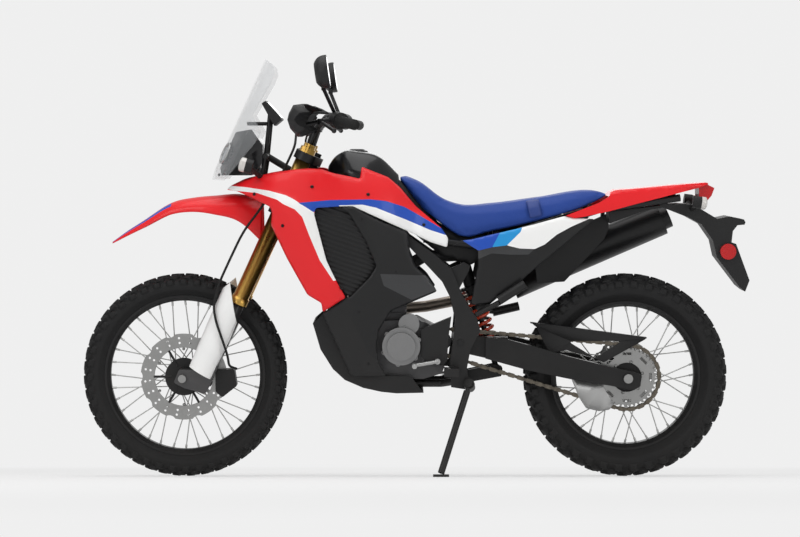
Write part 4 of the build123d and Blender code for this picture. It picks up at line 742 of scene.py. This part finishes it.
def treadPiece(wheel, tyre):
    # the section bends from the crown down both walls to the rim; blocks lift it outwards, and what
    # would reach below the floor is taken off
    form = tyreSection
    turn = circle(tyre["pitches"] * form["perPitch"])[:, None]
    t = np.linspace(-1, 1, form["across"])[None, :]
    hand, out, bend = np.sign(t), np.abs(t), t * form["wrap"]
    turned = np.abs(bend)
    y = (tyre["width"] / 2 - form["setIn"]) * hand * np.abs(np.sin(turned)) ** form["fullness"]
    bead = np.clip((turned - form["beadFrom"]) / form["beadTurn"], 0, 1)
    y = y + (hand * tyre["rimW"] / 2 - y) * bead ** form["beadSharp"]
    lower = (1 - form["crownDrop"]) * (turned - math.pi / 2) / form["wallTurn"]
    drop = np.where(turned < math.pi / 2, (1 - np.cos(bend)) * form["crownDrop"], form["crownDrop"] + lower)
    rise = form["radius"] - tyre["depth"] - tyre["rimR"] + form["underRim"]
    radius = tyre["rimR"] - form["underRim"] + rise * (1 - np.clip(drop, 0, 1))
    around = turn / (2 * math.pi) * tyre["pitches"]
    lug = np.max([pulse(around + row["apart"] * hand + row["start"] + t * row["lean"], row["share"], 0.08)
                  * strip(out, row["low"], row["high"], row["edge"]) for row in lugRows], axis=0)
    lift = tyre["depth"] * lug + sum(height * strip(out, low, high, 0.01) for height, low, high in wallRings)
    radius = radius + lift * np.clip(np.cos(bend), -0.2, 1)
    y = y + lift * np.sin(bend) * np.clip(1.5 - out * 1.2, 0, 1)
    y = np.clip(y, -tyre["width"] / 2, tyre["width"] / 2)
    reach = radius * math.cos(abs(leanAngle)) + np.abs(y) * math.sin(abs(leanAngle))
    over = max(0.0, reach.max() - bike["wheelR"] * math.cos(leanAngle))
    radius = radius - over * np.clip((0.75 - out) * 4, 0, 1)
    grid = np.stack([tyre["axleX"] + radius * np.cos(turn), y + 0 * turn,
                     bike["wheelR"] + radius * np.sin(turn)], -1)
    piece = gridPiece(wheel + "_tread", grid, wheel + "_wheel", "tyreRubber", loopRows=True)
    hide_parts(wheel + "_tyre")


for wheel, tyre in tyres.items():
    treadPiece(wheel, tyre)
print("tyres")

# the seat: a slightly small pad is blown up as cloth, then the strap is laid round it
seat = {
    "stations": [
        (-12, (986, 46), (994, 45), (1000, 34)),
        (33, (921, 80), (966, 72), (982, 48)),
        (123, (836, 96), (898, 82), (917, 58)),
        (182, (799, 108), (882, 92), (897, 64)),
        (284, (816, 120), (884, 110), (901, 80)),
        (439, (852, 114), (900, 106), (921, 84)),
        (624, (914, 78), (933, 73), (944, 56)),
        (658, (932, 58), (935, 55), (939, 46)),
    ],
    "length": 70, "around": 72, "square": 0.42,
    "voxel": 0.0055, "pressure": 4.0, "cap": 0.006, "frames": 20, "baseDown": -0.75,
}
strap = {"x": (397, 439), "proud": 4.2, "lift": (0.0, 0.8, 1, 1, 1, 1, 1, 0.8, 0.0), "height": 2.5,
         "above": 862, "middle": 850, "lean": -0.2, "leanFrom": 900, "wall": 3.0}


def vectorsOf(items, key):  # such as the vertices' places
    flat = np.empty(len(items) * 3)
    items.foreach_get(key, flat)
    return flat.reshape(-1, 3)


def bakeShape(piece):  # the modifiers' result becomes the mesh
    graph = bpy.context.evaluated_depsgraph_get()
    graph.update()
    made = bpy.data.meshes.new_from_object(piece.evaluated_get(graph))
    piece.modifiers.clear()
    piece.data = made


def swell(piece, look):  # the fabric swells under pressure on a held base, no point further than the cap
    start = vectorsOf(piece.data.vertices, "co")
    base = piece.vertex_groups.new(name="base")
    down = (vectorsOf(piece.data.vertices, "normal") @ leanTurn)[:, 2] < look["baseDown"]
    base.add(np.nonzero(down)[0].tolist(), 1.0, "REPLACE")
    cloth = piece.modifiers.new("Cloth", "CLOTH").settings
    cloth.use_pressure = True
    cloth.uniform_pressure_force = look["pressure"]
    cloth.vertex_group_mass = base.name
    cloth.effector_weights.gravity = 0
    for number in range(1, look["frames"] + 1):
        bpy.context.scene.frame_set(number)
    bakeShape(piece)
    bpy.context.scene.frame_set(1)
    moved = vectorsOf(piece.data.vertices, "co") - start
    reach = np.linalg.norm(moved, axis=1)
    share = look["cap"] * np.tanh(reach / look["cap"]) / np.maximum(reach, 1e-9)
    piece.data.vertices.foreach_set("co", (start + moved * share[:, None]).ravel())
    piece.data.update()


def blownPad(piece, look):
    addModifier(piece, "REMESH", mode="VOXEL", voxel_size=look["voxel"])
    bakeShape(piece)
    swell(piece, look)
    addModifier(piece, "SUBSURF", levels=1, render_levels=1)
    bakeShape(piece)
    allSmooth(piece.data)


def strapPiece():  # a flat band round the seat's own sections, from side to side, above its base
    x = np.linspace(*strap["x"], len(strap["lift"]))
    loops = sections(seat["stations"], x, seat["around"], seat["square"])
    lift = strap["proud"] + strap["height"] * np.array(strap["lift"])
    loops = loops + unit(loops - loops.mean(1, keepdims=True)) * lift[:, None, None]
    y, z = loops[0, :, 0], loops[0, :, 1]
    kept = z > strap["above"]
    order = np.argsort(np.where(kept, np.arctan2(y, z - strap["middle"]), 9))[:kept.sum()]
    y, z = np.moveaxis(loops[:, order], -1, 0)
    grid = np.stack([x[:, None] + strap["lean"] * (z - strap["leanFrom"]), y, z], -1)
    piece = gridPiece("seatStrap", grid, "frame", "strapVinyl", closed=False)
    addWall(piece, (0, 0, 1), strap["wall"])


seatPad = loftPiece("seatPad", seat["stations"], "frame", "seatVinyl", seat["length"], seat["around"],
                    seat["square"])
blownPad(seatPad, seat)
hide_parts("seat")
print("seat pad")
strapPiece()

# smooth coats over the frame's own lofted pieces, and the angle up to which they are smooth
smoothCoats = {
    "tail_cowl": 38, "mirrors": 50, "hand_guards": 75, "headlight": 30, "windscreen": 50, "muffler": 40,
    "fork_guards": 40, "exhaust_pipe": 50, "fork_tubes": 40, "fork_sliders": 20, "grips": 40,
    "chain_guard": 40,
}
coats = {nodeName: smoothCopy(nodeName, angle) for nodeName, angle in smoothCoats.items()}
guard, sliderTop = coats["chain_guard"], 0.36  # the slider plate under the chain is bare alloy
heights = (vectorsOf(guard.data.polygons, "center") - shift) @ leanTurn[:, 2]
paintFaces(guard, ["plateAlloy"], heights < sliderTop)
print("smooth coats")


def pair(x, y, z, facing):  # a place on each side, its axis leaning out to that side
    return [((x, side * y, z), (facing[0], side * facing[1], facing[2])) for side in (-1, 1)]


headlamps = pair(-590, 43, 1072, (-0.907, 0.3, 0.4212))
frontSignals = pair(-528, 176, 1038, (-1, 0, 0.278))
rearSignals = pair(974, 116, 910, (1, 0, -0.125))
lights = {  # where they sit and face, finish, points around, and a profile of (distance out, radius)
    "frontSignalLens": (frontSignals, "amberClear", 32, [(-14, 23.4), (-2, 23.8), (2, 22.6), (5, 18), (7, 11),
                                                         (7.8, 0)]),
    "rearSignalLens": (rearSignals, "amberClear", 32, [(-12, 20.4), (-2, 20.8), (2, 19.4), (5, 15), (6.6, 9),
                                                       (7.2, 0)]),
    "lampRings": (headlamps, "plateAlloy", 48, [(-3, 29), (-3, 37), (2.4, 37), (3.2, 35.5), (3.2, 32),
                                                (1.5, 30.5), (-3, 29)]),
    "lampBowls": (headlamps, "mirrorGlass", 40, [(-9, 0), (-8.6, 9), (-7.4, 18), (-5, 25), (-2.2, 30)]),
    "lampGlass": (headlamps, "lampPlastic", 40, [(-1.2, 31), (-0.4, 31), (0.6, 24), (1.4, 12), (1.8, 0)]),
}
for lightName, (places, look, around, profile) in lights.items():
    turnedPieces(lightName, profile, places, "frame", look, around)

# flat ovals, a little crowned: share of the oval's size and height above it, from the middle out
mirror = {"at": (-240.4, 392, 1330.3), "facing": (0.990, 0, 0.139), "wide": 54, "high": 46, "around": 48,
          "share": (0.0, 0.5, 0.9, 1.0, 1.0), "lift": (1.0, 0.95, 0.7, 0.4, -1.6)}
# a slightly bulged pane between its lower and upper edges, given as (x, z)
meter = {"low": (-405.5, 1187.5), "high": (-452, 1239), "half": 66, "bulge": 1.6, "proud": 0.6, "wall": 1.2}


def mirrorPlates():
    x, y, z = mirror["at"]
    spots = np.array([(x, side * y, z) for side in (-1, 1)])
    axis = unit(np.array(mirror["facing"]))
    up = np.cross(axis, [0, 1.0, 0])
    up *= np.sign(up[2])
    turn = circle(mirror["around"])[:, None]
    ring = np.cos(turn) * np.array([0, mirror["wide"], 0]) + np.sin(turn) * up * mirror["high"]
    share, lift = (np.array(mirror[key])[:, None, None] for key in ("share", "lift"))
    ringsPiece("mirrorGlass", spots[:, None, None] + share * ring + lift * axis, "steering", "mirrorGlass")


def meterPane(up=12, across=14):
    (x0, z0), (x1, z1) = meter["low"], meter["high"]
    t, v = np.linspace(0, 1, up)[:, None], np.linspace(-1, 1, across)[None, :]
    outX, outZ = unit(np.array([z1 - z0, x0 - x1]))
    bulge = meter["bulge"] * (1 - (2 * t - 1) ** 4) * (1 - v ** 4) + meter["proud"]
    grid = np.stack([x0 + (x1 - x0) * t + outX * bulge, meter["half"] * v + 0 * t,
                     z0 + (z1 - z0) * t + outZ * bulge], -1)
    piece = gridPiece("meterScreen", grid, "frame", "meterGlass", closed=False)
    addWall(piece, (1, 0, 0), meter["wall"])


mirrorPlates()
meterPane()
print("lamps and glass")


def ringOf(x, z, y, radius, count, start, side):  # bolts round a cross axis, the first at an angle in degrees
    turns = np.radians(start + 360 / count * np.arange(count))
    return [((x + radius * math.cos(a), y, z + radius * math.sin(a)), (0, side, 0)) for a in turns]


def throughPanel(panelName, spots):  # bolts at (x, z) on both sides, a little sunk in a panel
    spots, sunk = np.array(spots, float), 0.5
    wide = shellWidth(panelName, spots[:, 0], spots[:, 1])
    return [((x, side * (w - sunk), z), (0, side, 0)) for side in (-1, 1) for (x, z), w in zip(spots, wide)]


# fasteners: where each set sits and which way it faces
axleX, wheelR = bike["axleX"], bike["wheelR"]
bolts("generatorBolts", ringOf(-13, 445, -132, 60, 6, 20, -1))
bolts("clutchBolts", ringOf(-24, 432, 134, 62, 7, 10, 1))
bolts("frontDiscBolts", ringOf(-axleX, wheelR, -62, 92, 6, 30, -1), "front_wheel", scale=0.9)
bolts("sprocketBolts", ringOf(axleX, wheelR, -78, 52, 6, 15, -1), "rear_wheel")
bolts("rearDiscBolts", ringOf(axleX, wheelR, 68, 52, 6, 15, 1), "rear_wheel")
bolts("fairingBolts", throughPanel("fairing", [(-489, 940), (-300, 965), (-120, 940), (60, 840), (-205, 640),
                                               (-395, 840)]), look="satinBlack", scale=1.05)
bolts("cowlBolts", throughPanel("cowl", [(-140, 860), (-30, 690), (-120, 390), (-150, 560)]),
      look="satinBlack")
bolts("screenBolts", pair(-605.5, 74, 1001, (-0.82, 0.5, 0.38)), look="satinBlack")
bolts("clampBolts", pair(-363, 46, 1172, (0, 0, 1)), "steering")
print("fasteners")

# cables on the bars, from the levers and switches to above the upper fork clamp: radius and route
cables = {
    "clutchCable": (3.4, [(-284, -232, 1188), (-292, -190, 1172), (-312, -140, 1142), (-324, -90, 1112),
                          (-322, -38, 1092)]),
    "throttleCable": (3.2, [(-250, 262, 1178), (-276, 226, 1180), (-306, 150, 1150), (-322, 90, 1114),
                            (-322, 42, 1094)]),
    "switchLoom": (3.6, [(-232, -256, 1166), (-262, -200, 1174), (-284, -130, 1136), (-300, -80, 1108),
                         (-306, -36, 1090)]),
}
for cableName, (radius, route) in cables.items():
    tubePiece(cableName, route, radius, "steering", "rubber")
print("cables")

# the paper's tone, how much shadow it keeps near by, and the world's own light
stageLook = {"tone": 0.865, "mottle": 0.995, "keepShadow": 0.5, "fadeFrom": 1.6, "fadeTo": 4.5,
             "radius": 40.0, "below": 0.0005, "studio": 0.5}


def buildStageMaterial(name, look):  # paper that keeps a soft shadow and fades into the backdrop's tone
    material = bpy.data.materials.new(name)
    n = emptied(material)
    shade = n.mapped(n.noise(1.5, 2.0), toMin=look["tone"] * look["mottle"], toMax=look["tone"])
    paper = n.add("BsdfDiffuse", {"Color": shade}).outputs[0]
    glow = n.add("Emission", {"Color": (*[look["tone"]] * 3, 1)}).outputs[0]
    path = n.add("LightPath").outputs
    seen = n.maths("ADD", path["Is Camera Ray"], path["Is Glossy Ray"], clamp=True)
    seen = n.maths("ADD", seen, path["Is Transmission Ray"], clamp=True)
    away = n.vectors("LENGTH", n.spot())["Value"]
    fade = n.mapped(away, look["fadeFrom"], look["fadeTo"], 1 - look["keepShadow"], 1.0,
                    interpolation_type="SMOOTHSTEP")
    share = n.maths("MULTIPLY", seen, fade)
    shownBy(n, n.add("MixShader", {0: share, 1: paper, 2: glow}))
    return material


def buildStage(rows=8, around=64):  # a wide disc: rings of growing radius about the middle
    turn, reach = circle(around), stageLook["radius"] * np.linspace(0.02, 1, rows)[:, None] ** 2
    floorZ = np.full((rows, around), -stageLook["below"])
    rings = np.stack([reach * np.cos(turn), reach * np.sin(turn), floorZ], -1)
    mesh = bpy.data.meshes.new("studioFloor")
    faces = gridFaces(rows, around, loopColumns=True).tolist() + [list(range(around))[::-1]]
    mesh.from_pydata(rings.reshape(-1, 3).tolist(), [], faces)
    if mesh.polygons[0].normal[2] < 0:
        mesh.flip_normals()
    mesh.materials.append(buildStageMaterial("studioPaper", stageLook))
    linked("studioFloor", mesh)


def buildWorld():
    world = bpy.data.worlds.new("studio")
    bpy.context.scene.world = world
    n = emptied(world)
    path = n.add("LightPath").outputs
    seen = n.maths("ADD", path["Is Camera Ray"], path["Is Transmission Ray"], clamp=True)
    level = n.mapped(seen, toMin=stageLook["studio"], toMax=stageLook["tone"])
    back = n.add("Background", {"Color": (1, 1, 1, 1), "Strength": level})
    n.add("OutputWorld", {"Surface": back.outputs[0]})


lamps = {  # place, aim, size and watts
    "topSoftbox": ((-0.2, -0.6, 3.6), (0, 0, 0.6), 3.2, 62),
    "frontSoftbox": ((-2.8, -3.6, 2.2), (0, 0, 0.7), 2.0, 42),
    "rearSoftbox": ((3.2, -3.0, 1.9), (0.2, 0, 0.7), 1.8, 28),
    "backSoftbox": ((0.5, 3.6, 2.6), (0, 0, 0.8), 2.4, 28),
}


def buildLamps():
    for name, (place, aim, size, watts) in lamps.items():
        light = bpy.data.lights.new(name, "AREA")
        light.shape, light.size, light.energy = "SQUARE", size, watts
        obj = linked(name, light)
        obj.location = place
        obj.rotation_euler = (Vector(aim) - Vector(place)).to_track_quat("-Z", "Y").to_euler()
        obj.visible_camera = False


# the camera: place in the upright bike's millimetres, pitch down in degrees, lens in a frame's pixels
cameraLook = {"distance": 7500.0, "x": -17.0, "height": 1148.0, "pitch": 3.49, "focalPixels": 2273.0,
              "width": 800, "sensor": 36.0}


def buildCamera():
    data = bpy.data.cameras.new("camera")
    data.sensor_width = cameraLook["sensor"]
    data.lens = cameraLook["focalPixels"] / cameraLook["width"] * data.sensor_width
    camera = linked("camera", data)
    place = leaned([cameraLook["x"], -cameraLook["distance"], cameraLook["height"]])
    level = math.radians(90 - cameraLook["pitch"])
    camera.matrix_world = Matrix.Translation(Vector(place)) @ Matrix.Rotation(leanAngle + level, 4, "X")
    bpy.context.scene.camera = camera


buildStage()
buildWorld()
buildLamps()
buildCamera()
bpy.context.scene.view_settings.view_transform = "Standard"
print("stage, lamps and camera")
